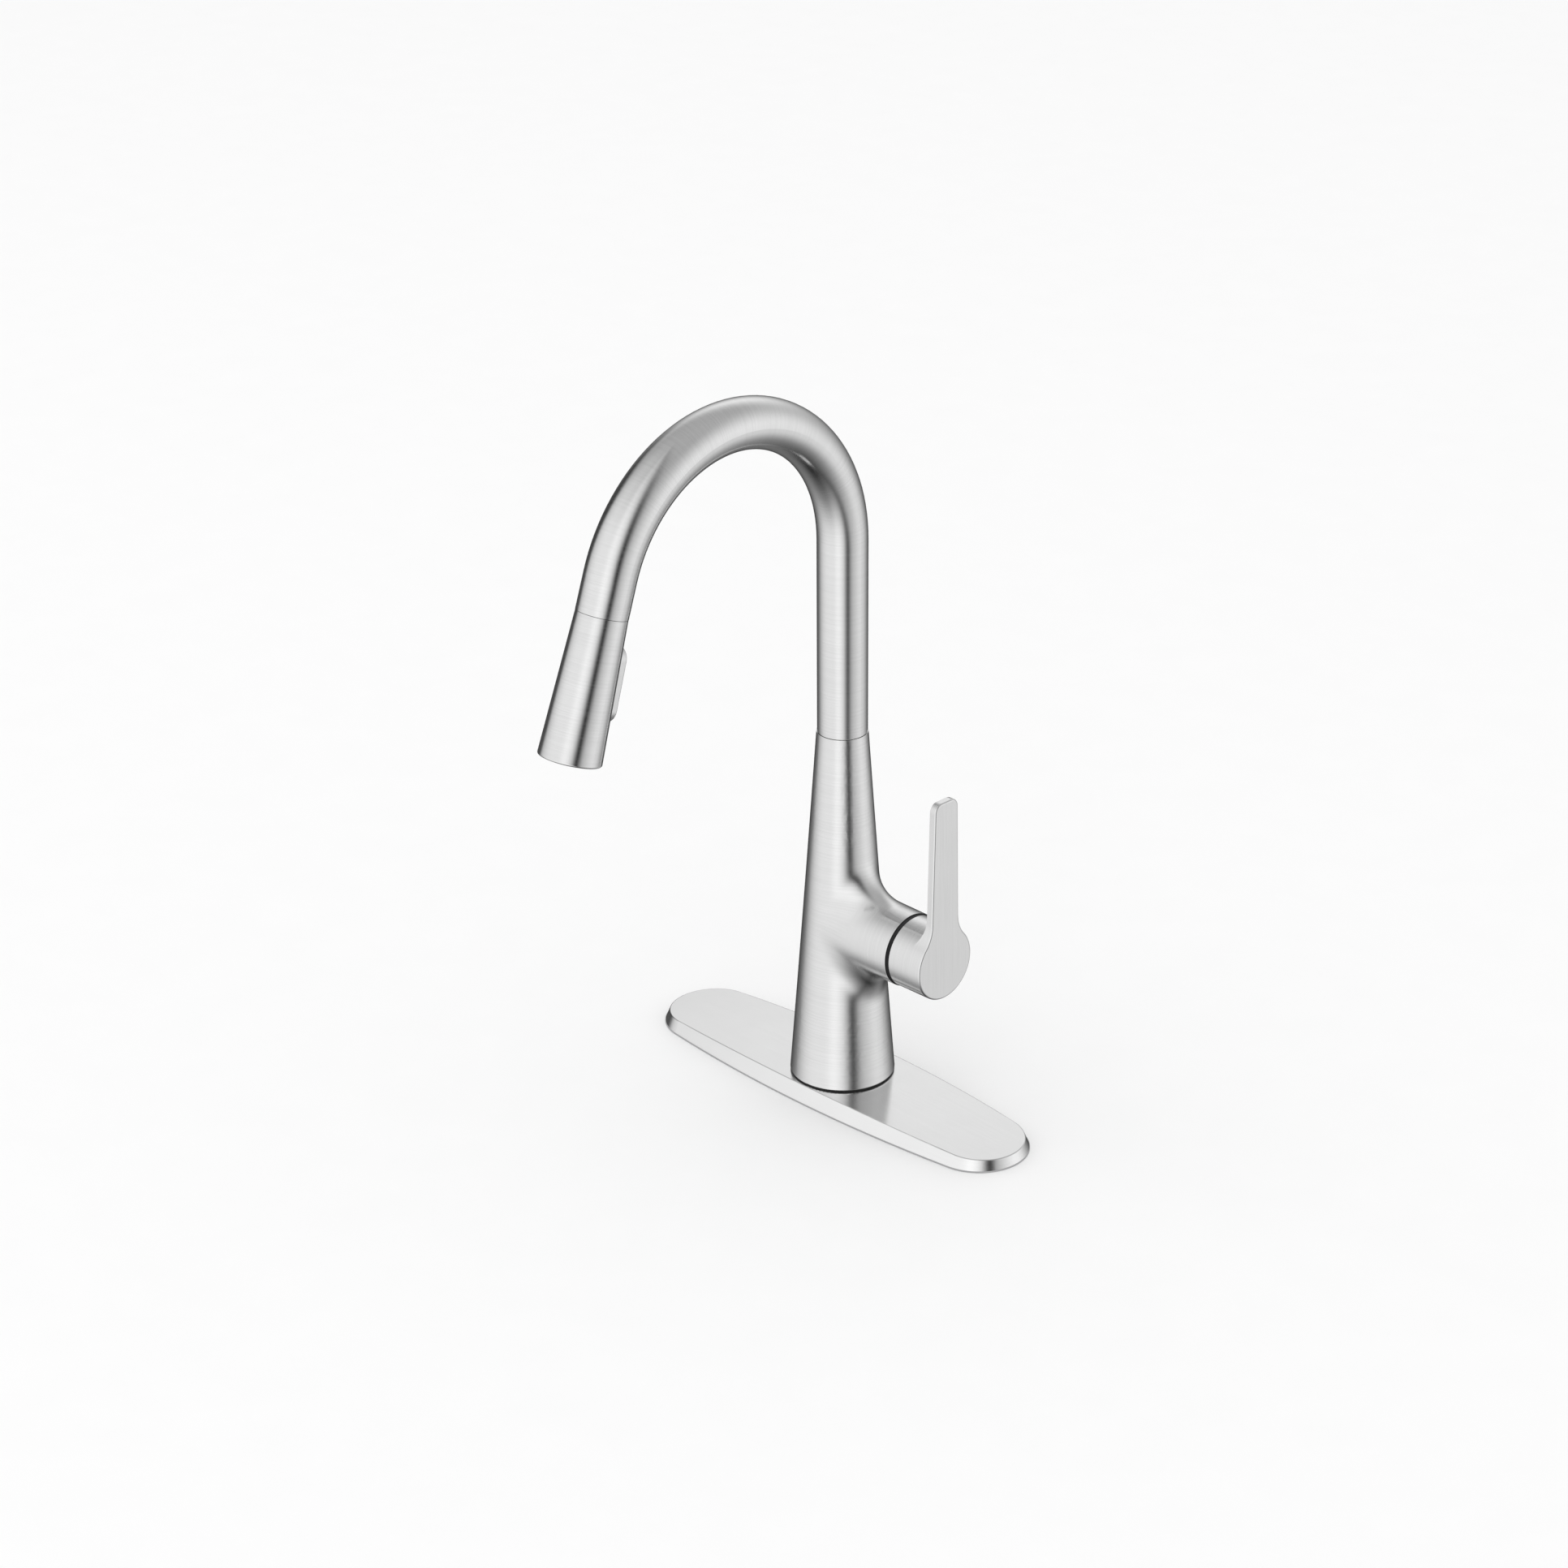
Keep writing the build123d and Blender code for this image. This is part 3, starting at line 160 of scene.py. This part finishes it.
def neck_axis(shader, point):
    """The tube's own line: up the riser, round the bend and down the tail."""
    _, back, height = shader.split(shader.vector("SUBTRACT", point, tuple(BEND_CENTRE)))
    angle = shader.math("ARCTAN2", height, back)
    on_riser = shader.math("GREATER_THAN", back, 0.0)
    below = shader.math("LESS_THAN", height, 0.0)
    riser = shader.math("MULTIPLY", on_riser, below)
    turned = shader.math("MULTIPLY", angle, shader.math("SUBTRACT", 1.0, riser))
    turned = shader.math("MINIMUM", shader.math("MAXIMUM", turned, 0.0), BEND_ANGLE)
    forward = shader.math("MULTIPLY", shader.math("SINE", turned), -1.0)
    direction = shader.combine(0.0, forward, shader.math("COSINE", turned))
    along_riser = shader.math("MULTIPLY", height, riser)
    tail_start = BEND_CENTRE + BEND_RADIUS * Vector((0, cos(BEND_ANGLE), sin(BEND_ANGLE)))
    down_tail = shader.dot(shader.vector("SUBTRACT", point, tuple(tail_start)), tuple(SPRAY_AXIS))
    on_tail = shader.math("SUBTRACT", 1.0, on_riser)
    along_tail = shader.math("MULTIPLY", shader.math("MAXIMUM", down_tail, 0.0), on_tail)
    along_bend = shader.math("MULTIPLY", turned, BEND_RADIUS)
    total = shader.math("ADD", shader.math("ADD", along_riser, along_bend), along_tail)
    return direction, total


# The branch's brushing: the distance over which it takes over, and the heights between which it fades
BRANCH_TURN = 0.012
BRANCH_REACH = (0.022, 0.036)


def above_branch(shader, height):
    """Distance up or down from the branch's axis."""
    return shader.math("ABSOLUTE", shader.math("SUBTRACT", height, BRANCH_HEIGHT))


def branch_axis(shader, point):
    """The body is brushed round its column, and round the side branch where that leaves the column."""
    x, _, z = shader.split(point)
    share = shader.ramp(x, BRANCH_START, BRANCH_START + BRANCH_TURN, 0.0, 1.0)
    share = shader.math("MULTIPLY", share, shader.ramp(above_branch(shader, z), *BRANCH_REACH, 1.0, 0.0))
    upright = shader.math("SUBTRACT", 1.0, share)
    along = shader.math("ADD", shader.math("MULTIPLY", x, share), shader.math("MULTIPLY", z, upright))
    return shader.combine(share, 0.0, upright), along


# Part of a normal along an axis, above which a face counts as facing that way
FACING = 0.7


def handle_axis(shader, point):
    """The hub is brushed round its axis, and the broad face that it shares with the lever along the lever."""
    x, y, _ = shader.split(point)
    front, _, _ = shader.split(shader.normal())
    broad = shader.math("GREATER_THAN", shader.math("ABSOLUTE", front), FACING)
    edge = shader.math("SUBTRACT", 1.0, broad)
    along = shader.math("ADD", shader.math("MULTIPLY", y, broad), shader.math("MULTIPLY", x, edge))
    return shader.combine(edge, broad, 0.0), along


def plate_axis(shader, point):
    """The plate is brushed along its length on top, and round its edge on its wall."""
    _, y, z = shader.split(point)
    _, _, up = shader.split(shader.normal())
    top = shader.math("GREATER_THAN", shader.math("ABSOLUTE", up), FACING)
    wall = shader.math("SUBTRACT", 1.0, top)
    along = shader.math("ADD", shader.math("MULTIPLY", y, top), shader.math("MULTIPLY", z, wall))
    return shader.combine(0.0, top, wall), along


# Painted shade and painted highlight: what the steel's tone is multiplied by at each point
RIM_ROUND = 0.0004
RIM_FACING = 0.3
RIM_PAINTED_SHADE = 0.02
WALL_FACING = (0.5, 0.9)
WALL_PAINTED_HIGHLIGHT = 1.1


def painted_rim_shade(shader, point):
    """Painted shade: dark on the end of the branch, for the shadow in the joint behind the hub, and 1 elsewhere.
    """
    x, _, _ = shader.split(point)
    front, _, _ = shader.split(shader.normal())
    at_end = shader.math("GREATER_THAN", x, BRANCH_END - RIM_ROUND)
    facing = shader.ramp(front, RIM_FACING, FACING, 0.0, 1.0)
    # Painted shade: the tone falls to near black on the end face, where the joint lies in shadow
    return shader.ramp(shader.math("MULTIPLY", at_end, facing), 0.0, 1.0, 1.0, RIM_PAINTED_SHADE)


def painted_wall_highlight(shader, _point):
    """Painted highlight: a little brighter on the plate's wall than on its brushed top."""
    _, _, up = shader.split(shader.normal())
    # Painted highlight: the wall's tone is raised above the steel's own
    return shader.ramp(up, *WALL_FACING, WALL_PAINTED_HIGHLIGHT, 1.0)


# Evening out of the body's shading: its radius, and the heights above the branch's axis and the distances
# from the branch's end between which it fades
EVEN_RADIUS = 0.008
EVEN_SAMPLES = 8
EVEN_REACH = (0.040, 0.052)
EVEN_END = (0.016, 0.006)


def blend_radius(shader, point):
    """Radius of the evening out: full round the root of the branch, none at its end or up the column."""
    x, _, z = shader.split(point)
    near = shader.ramp(above_branch(shader, z), *EVEN_REACH, EVEN_RADIUS, 0.0)
    inside = shader.ramp(x, BRANCH_END - EVEN_END[0], BRANCH_END - EVEN_END[1], 1.0, 0.0)
    return shader.math("MULTIPLY", near, inside)


# Brushing: pitch of the scratches and how fast they change along themselves, for lines and for bands
LINE_PITCH = 0.0005
LINE_DRIFT = 60.0
BAND_PITCH = 0.0014
BAND_DRIFT = 25.0
BAND_SHARE = 0.7
CLOUD_SCALE = 45.0
CLOUD_TONE = 0.985
STEEL = (0.86, 0.86, 0.86)
STEEL_ROUGHNESS = 0.16
ROUGHNESS_SPREAD = 0.04
STEEL_ANISOTROPY = 0.3
SCRATCH_DEPTH = 0.00002

# Parts of a noise's range that most of it fills
NOISE_SPAN = (0.3, 0.7)
BAND_SPAN = (0.35, 0.65)


def set_roughness(shader, principled, share, low, high):
    shader.feed(principled.inputs["Roughness"], shader.ramp(share, *NOISE_SPAN, low, high))


def set_relief(shader, principled, height, strength, depth, normal=None):
    inputs = {"Strength": strength, "Distance": depth, "Height": height}
    if normal is not None:
        inputs["Normal"] = normal
    bump = shader.node("ShaderNodeBump", inputs)
    shader.feed(principled.inputs["Normal"], bump.outputs[0])


def scratches(shader, point, along, pitch, drift):
    """Noise that changes quickly along an axis and slowly round it."""
    rounds = shader.math("DIVIDE", along, pitch)
    place = shader.vector("ADD", shader.scale(point, drift), shader.combine(rounds, rounds, rounds))
    return shader.noise(place, scale=1.0, detail=2.0, roughness=0.6)


def brushed_steel(name, axis, streak=0.05, painted_shading=None, even=None):
    """Steel with fine scratches that run round an axis, so that its highlights stretch along that axis."""
    material, shader, principled = new_material(name)
    point = shader.point()
    direction, along = axis(shader, point)
    lines = scratches(shader, point, along, LINE_PITCH, LINE_DRIFT)
    bands = scratches(shader, point, along, BAND_PITCH, BAND_DRIFT)
    clouds = shader.noise(point, CLOUD_SCALE, detail=3.0, roughness=0.55)
    tones = [
        shader.ramp(bands, *BAND_SPAN, 1.0 - BAND_SHARE * streak, 1.0),
        shader.ramp(clouds, *NOISE_SPAN, CLOUD_TONE, 1.0),
    ]
    # Painted shade on the body and a painted highlight on the plate multiply the tone here
    if painted_shading:
        tones.append(painted_shading(shader, point))
    tone = shader.ramp(lines, *NOISE_SPAN, 1.0 - streak, 1.0, smooth=False)
    for other in tones:
        tone = shader.math("MULTIPLY", tone, other)
    shader.feed(principled.inputs["Base Color"], shader.scale(STEEL, tone))
    low, high = STEEL_ROUGHNESS - ROUGHNESS_SPREAD, STEEL_ROUGHNESS + ROUGHNESS_SPREAD
    set_roughness(shader, principled, lines, low, high)
    normal = None
    if even:
        radius = even(shader, point)
        normal = shader.node("ShaderNodeBevel", {"Radius": radius}, samples=EVEN_SAMPLES).outputs[0]
    set_relief(shader, principled, lines, strength=0.05, depth=SCRATCH_DEPTH, normal=normal)
    turned = shader.node(
        "ShaderNodeVectorTransform",
        {"Vector": direction},
        vector_type="VECTOR",
        convert_from="OBJECT",
        convert_to="WORLD",
    )
    shader.feed(principled.inputs["Tangent"], turned.outputs[0])
    principled.inputs["Metallic"].default_value = 1.0
    principled.inputs["Anisotropic"].default_value = STEEL_ANISOTROPY
    return material


def turned_metal(name, colour, roughness, mottle=0.18):
    """Plain machined metal with faint blotches."""
    material, shader, principled = new_material(name)
    blotch = shader.noise(shader.point(), scale=120.0, detail=4.0, roughness=0.6)
    dark = tuple((1.0 - mottle) * part for part in colour)
    shader.feed(principled.inputs["Base Color"], shader.mix(blotch, (*dark, 1.0), (*colour, 1.0)))
    set_roughness(shader, principled, blotch, roughness - 0.05, roughness + 0.06)
    set_relief(shader, principled, blotch, strength=0.1, depth=0.00005)
    principled.inputs["Metallic"].default_value = 1.0
    return material


def moulded(name, colour, roughness, lift=1.25):
    """Plastic or rubber with a fine moulded grain and a little unevenness of tone."""
    material, shader, principled = new_material(name)
    point = shader.point()
    blotch = shader.noise(point, scale=70.0, detail=3.0, roughness=0.5)
    grain = shader.noise(point, scale=900.0, detail=2.0, roughness=0.5)
    light = tuple(min(1.0, lift * part) for part in colour)
    shader.feed(principled.inputs["Base Color"], shader.mix(blotch, (*colour, 1.0), (*light, 1.0)))
    set_roughness(shader, principled, grain, roughness - 0.05, roughness + 0.05)
    set_relief(shader, principled, grain, strength=0.3, depth=0.00004)
    return material


# Finishes by the record's slots, and those of the five outer pieces, each brushed its own way
finishes = {
    "brushed_steel": turned_metal("steel", STEEL, roughness=0.3),
    "plain_steel": turned_metal("plain_steel", (0.52, 0.52, 0.53), roughness=0.34),
    "brass": turned_metal("brass", (0.78, 0.58, 0.28), roughness=0.3),
    "black_rubber": moulded("black_rubber", (0.012, 0.012, 0.012), roughness=0.7),
    "grey_rubber": moulded("grey_rubber", (0.36, 0.36, 0.365), roughness=0.65),
    "black_plastic": moulded("black_plastic", (0.014, 0.014, 0.015), roughness=0.42),
    "grey_plastic": turned_metal("grey_plastic", (0.84, 0.84, 0.84), roughness=0.28, mottle=0.03),
    "white_plastic": moulded("white_plastic", (0.78, 0.78, 0.76), roughness=0.4, lift=1.08),
    "ceramic": moulded("ceramic", (0.86, 0.86, 0.83), roughness=0.18, lift=1.05),
}
shown_finishes = {
    "gooseneck": brushed_steel("tube_steel", neck_axis),
    # The body's colour carries painted shade on the end of its branch
    "faucet_body": brushed_steel("body_steel", branch_axis, painted_shading=painted_rim_shade, even=blend_radius),
    "spray_shell": brushed_steel("spray_steel", straight_axis(SPRAY_AXIS)),
    "handle": brushed_steel("handle_steel", handle_axis, streak=0.04),
    # The plate's colour carries a painted highlight on its wall
    "deck_plate": brushed_steel("plate_steel", plate_axis, streak=0.02, painted_shading=painted_wall_highlight),
}

# Only these pieces show in the reflections of the others, as in the photograph
REFLECTED = ("faucet_body", "gooseneck", "base_seal")
for name, piece in nodes.items():
    piece.data.materials.clear()
    piece.data.materials.append(shown_finishes.get(name) or finishes[slot_of[name]])
    piece.visible_glossy = name in REFLECTED


# Threads, which the solids leave plain: the shank below the deck and the clamp screws in its nut
THREAD_ROWS = 10
SHARP_ANGLE = radians(40)
SHANK_RADIUS = mounts["deck_shank"]["dims"]["r_mm"] / 1000
SHANK_BORE = 0.0135
SHANK_PITCH = 0.0023
SHANK_DEPTH = 0.0012
SHANK_COLUMNS = 72
SCREW_RADIUS = 0.0025
SCREW_PITCH = 0.0008
SCREW_DEPTH = 0.0004
SCREW_HEAD = 0.004
SCREW_FLATS = 0.008
SCREW_CHAMFER = 0.0005
SCREW_COLUMNS = 24


def ring(centre, height, columns, radius_at):
    """Points round an upright axis, at the radius that belongs to each angle."""
    points = []
    for column in range(columns):
        angle = 2 * pi * column / columns
        radius = radius_at(angle)
        points.append((centre[0] + radius * cos(angle), centre[1] + radius * sin(angle), height))
    return points


def thread_rings(centre, columns, start, end, tip, crest, depth, pitch):
    """Rings of a rounded thread from start up to end, chamfered at its tip and run out at its other end."""
    root = start + end - tip
    rows = round((end - start) / pitch * THREAD_ROWS)
    rings = []
    for row in range(rows + 1):
        height = start + (end - start) * row / rows

        def radius_at(angle):
            wave = abs(2 * ((height / pitch - angle / (2 * pi)) % 1) - 1)
            groove = wave * wave * (3 - 2 * wave) * min(1.0, abs(root - height) / pitch)
            return min(crest - depth * groove, crest - depth + abs(height - tip))

        rings.append(ring(centre, height, columns, radius_at))
    return rings


def round_ring(centre, height, columns, radius):
    return ring(centre, height, columns, lambda angle: radius)


def hexagon_ring(centre, height, columns, apothem, limit):
    """A hexagon with corners along X, cut round at limit."""
    return ring(centre, height, columns, lambda angle: min(limit, apothem / cos(angle % (pi / 3) - pi / 6)))


def shell(rings, hollow):
    """Points and faces of a closed skin over the rings, joined last to first if hollow and else capped."""
    columns = len(rings[0])
    points = [point for one in rings for point in one]
    faces = []
    for row in range(len(rings) if hollow else len(rings) - 1):
        low = row * columns
        high = (row + 1) % len(rings) * columns
        for step in range(columns):
            beside = (step + 1) % columns
            faces.append((low + step, low + beside, high + beside, high + step))
    if not hollow:
        faces.append(tuple(reversed(range(columns))))
        faces.append(tuple(range(len(points) - columns, len(points))))
    return points, faces


def stand_for(node, body, name, shells):
    """One piece made of closed shells, in the place and the finish of a CAD node."""
    points, faces = [], []
    for shell_points, shell_faces in shells:
        faces += [tuple(len(points) + corner for corner in face) for face in shell_faces]
        points += shell_points
    mesh = bpy.data.meshes.new(name)
    mesh.from_pydata(points, [], faces)
    mesh.shade_smooth()
    mesh.set_sharp_from_angle(angle=SHARP_ANGLE)
    mesh.materials.append(finishes[slot_of[node]])
    piece = bpy.data.objects.new(name, mesh)
    piece.visible_glossy = False
    bpy.context.scene.collection.objects.link(piece)
    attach(piece, body)
    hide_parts(node)


def threaded_shank():
    low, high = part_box("mounting_shank")
    axis = (0, 0)
    rings = thread_rings(axis, SHANK_COLUMNS, low.z, 0, low.z, SHANK_RADIUS, SHANK_DEPTH, SHANK_PITCH)
    for height, radius in ((0, high.x), (high.z, high.x), (high.z, SHANK_BORE), (low.z, SHANK_BORE)):
        rings.append(round_ring(axis, height, SHANK_COLUMNS, radius))
    stand_for("mounting_shank", "base", "threaded_shank", [shell(rings, hollow=True)])


def threaded_screws():
    low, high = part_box("clamp_screws")
    apothem = SCREW_FLATS / 2
    corner = apothem / cos(pi / 6)
    top = low.z + SCREW_HEAD
    head = (
        (low.z, apothem - SCREW_CHAMFER / 2),
        (low.z + SCREW_CHAMFER, corner),
        (top - SCREW_CHAMFER, corner),
        (top, apothem - SCREW_CHAMFER / 2),
    )
    shells = []
    for place in (high.y - apothem, low.y + apothem):
        axis = (0, place)
        rings = [hexagon_ring(axis, height, SCREW_COLUMNS, apothem, limit) for height, limit in head]
        rings += thread_rings(
            axis, SCREW_COLUMNS, top, high.z, high.z, SCREW_RADIUS, SCREW_DEPTH, SCREW_PITCH
        )
        shells.append(shell(rings, hollow=False))
    stand_for("clamp_screws", "mounting_nut", "threaded_screws", shells)


threaded_shank()
threaded_screws()

# Studio that the metal reflects: a grey room with large soft boxes and dark flags. Bearings run to the
# right from the photograph's camera, heights up from the horizon, half-sizes likewise, all in degrees.
# Later ones lie in front of earlier ones.
ROOM_LEVEL = 0.32
ALL_ROUND = 9000
STUDIO = (
    {"name": "ceiling", "bearing": 0, "height": 90, "wide": ALL_ROUND, "tall": 38, "level": 0.44, "edge": 4},
    {"name": "left_box", "bearing": -43, "height": -6, "wide": 78, "tall": 72, "level": 0.93, "edge": 4},
    {"name": "front_box", "bearing": -19, "height": -10, "wide": 14, "tall": 60, "level": 1.08, "edge": 2},
    {"name": "right_box", "bearing": 90, "height": -7, "wide": 45, "tall": 44, "level": 0.97, "edge": 2},
    {"name": "back_box", "bearing": 171, "height": 27, "wide": 34, "tall": 20, "level": 0.98, "edge": 2},
    {"name": "ground", "bearing": 0, "height": -90, "wide": ALL_ROUND, "tall": 46, "level": 0.20, "edge": 4},
    {"name": "nadir", "bearing": 0, "height": -90, "wide": ALL_ROUND, "tall": 22, "level": 0.02, "edge": 2},
    {"name": "back_flag", "bearing": 180, "height": -24, "wide": 54, "tall": 27, "level": 0.03, "edge": 2},
    {"name": "left_flag", "bearing": -140, "height": 4, "wide": 20, "tall": 26, "level": 0.05, "edge": 4},
    {"name": "front_flag", "bearing": 24, "height": 3, "wide": 15, "tall": 75, "level": 0.03, "edge": 2},
)

# Light from all round on what isn't a mirror, and the pale backdrop beyond the floor
FILL = 1.0
BACKDROP = 0.936


def studio_level(shader, bearing, height):
    """Brightness of the studio in each direction."""
    level = ROOM_LEVEL
    for box in STUDIO:
        aside = shader.math("SUBTRACT", bearing, radians(box["bearing"]))
        aside = shader.math("DIVIDE", shader.math("WRAP", aside, pi, -pi), radians(box["wide"]))
        above = shader.math("SUBTRACT", height, radians(box["height"]))
        above = shader.math("DIVIDE", above, radians(box["tall"]))
        aside = shader.math("POWER", shader.math("ABSOLUTE", aside), box["edge"])
        above = shader.math("POWER", shader.math("ABSOLUTE", above), box["edge"])
        off = shader.math("ADD", aside, above)
        share = shader.math("EXPONENT", shader.math("MULTIPLY", off, -1.0))
        step = shader.math("MULTIPLY", share, shader.math("SUBTRACT", box["level"], level))
        level = shader.math("ADD", level, step)
    return level


def studio_world():
    world = bpy.data.worlds.new("studio")
    bpy.context.scene.world = world
    world.use_nodes = True
    tree = world.node_tree
    tree.nodes.clear()
    shader = Shader(tree)
    ray = shader.node("ShaderNodeTexCoord").outputs["Generated"]
    to_camera = (sin(VIEW_BEARING), -cos(VIEW_BEARING), 0.0)
    to_right = (cos(VIEW_BEARING), sin(VIEW_BEARING), 0.0)
    bearing = shader.math("ARCTAN2", shader.dot(ray, to_right), shader.dot(ray, to_camera))
    height = shader.math("ARCSINE", shader.dot(ray, (0.0, 0.0, 1.0)))
    level = studio_level(shader, bearing, height)
    path = shader.node("ShaderNodeLightPath").outputs
    seen = shader.math("MAXIMUM", path["Is Camera Ray"], path["Is Transmission Ray"])
    unseen = shader.math("SUBTRACT", 1.0, seen)
    glossy = shader.math("MULTIPLY", path["Is Glossy Ray"], unseen)
    rest = shader.math("SUBTRACT", unseen, glossy)
    strength = shader.math("MULTIPLY", seen, BACKDROP)
    strength = shader.math("ADD", strength, shader.math("MULTIPLY", glossy, level))
    strength = shader.math("ADD", strength, shader.math("MULTIPLY", rest, FILL))
    background = shader.node("ShaderNodeBackground", {"Color": (1, 1, 1, 1), "Strength": strength})
    output = shader.node("ShaderNodeOutputWorld")
    tree.links.new(background.outputs[0], output.inputs[0])


# Two large soft lamps, in front to the right and to the left, in watts
LAMP_TARGET = Vector((0, -0.05, 0.15))
LAMP_SIZE = 1.6
LAMPS = (
    {"name": "key_lamp", "place": (1.2, -1.6, 2.2), "power": 3.0},
    {"name": "fill_lamp", "place": (-1.9, -0.9, 1.6), "power": 1.5},
)


def area_lamp(name, place, power):
    lamp = bpy.data.lights.new(name, "AREA")
    lamp.shape = "DISK"
    lamp.size = LAMP_SIZE
    lamp.energy = power
    piece = bpy.data.objects.new(name, lamp)
    piece.location = place
    piece.rotation_euler = (LAMP_TARGET - Vector(place)).to_track_quat("-Z", "Y").to_euler()
    piece.visible_glossy = False
    bpy.context.scene.collection.objects.link(piece)


FLOOR_HALF = 60.0
FLOOR_DROP = 0.0001
FLOOR_COLOURS = ((0.94, 0.94, 0.94, 1), (0.96, 0.96, 0.96, 1))


def pale_floor():
    """A white floor that keeps the object's soft shadow, a hair below the gasket's foot."""
    mesh = bpy.data.meshes.new("floor")
    corners = ((-1, -1), (1, -1), (1, 1), (-1, 1))
    points = [(x * FLOOR_HALF, y * FLOOR_HALF, -FLOOR_DROP) for x, y in corners]
    mesh.from_pydata(points, [], [(0, 1, 2, 3)])
    floor = bpy.data.objects.new("floor", mesh)
    floor.visible_glossy = False
    bpy.context.scene.collection.objects.link(floor)
    material, shader, principled = new_material("floor")
    paper = shader.noise(shader.point(), scale=30.0, detail=2.0, roughness=0.5)
    shader.feed(principled.inputs["Base Color"], shader.mix(paper, *FLOOR_COLOURS))
    principled.inputs["Roughness"].default_value = 0.9
    principled.inputs["Specular IOR Level"].default_value = 0.1
    mesh.materials.append(material)


def place_camera():
    lens = bpy.data.cameras.new("camera")
    lens.lens = VIEW_LENS
    lens.sensor_width = SENSOR_WIDTH
    lens.shift_x, lens.shift_y = VIEW_SHIFT
    lens.clip_end = CLIP_END
    camera = bpy.data.objects.new("camera", lens)
    back = Vector((
        sin(VIEW_BEARING) * cos(VIEW_HEIGHT),
        -cos(VIEW_BEARING) * cos(VIEW_HEIGHT),
        sin(VIEW_HEIGHT),
    ))
    camera.location = VIEW_TARGET + back * VIEW_DISTANCE
    camera.rotation_mode = "QUATERNION"
    camera.rotation_quaternion = (-back).to_track_quat("-Z", "Y")
    bpy.context.scene.collection.objects.link(camera)
    bpy.context.scene.camera = camera


place_camera()
studio_world()
pale_floor()
for lamp in LAMPS:
    area_lamp(**lamp)
bpy.context.scene.view_settings.view_transform = "Standard"
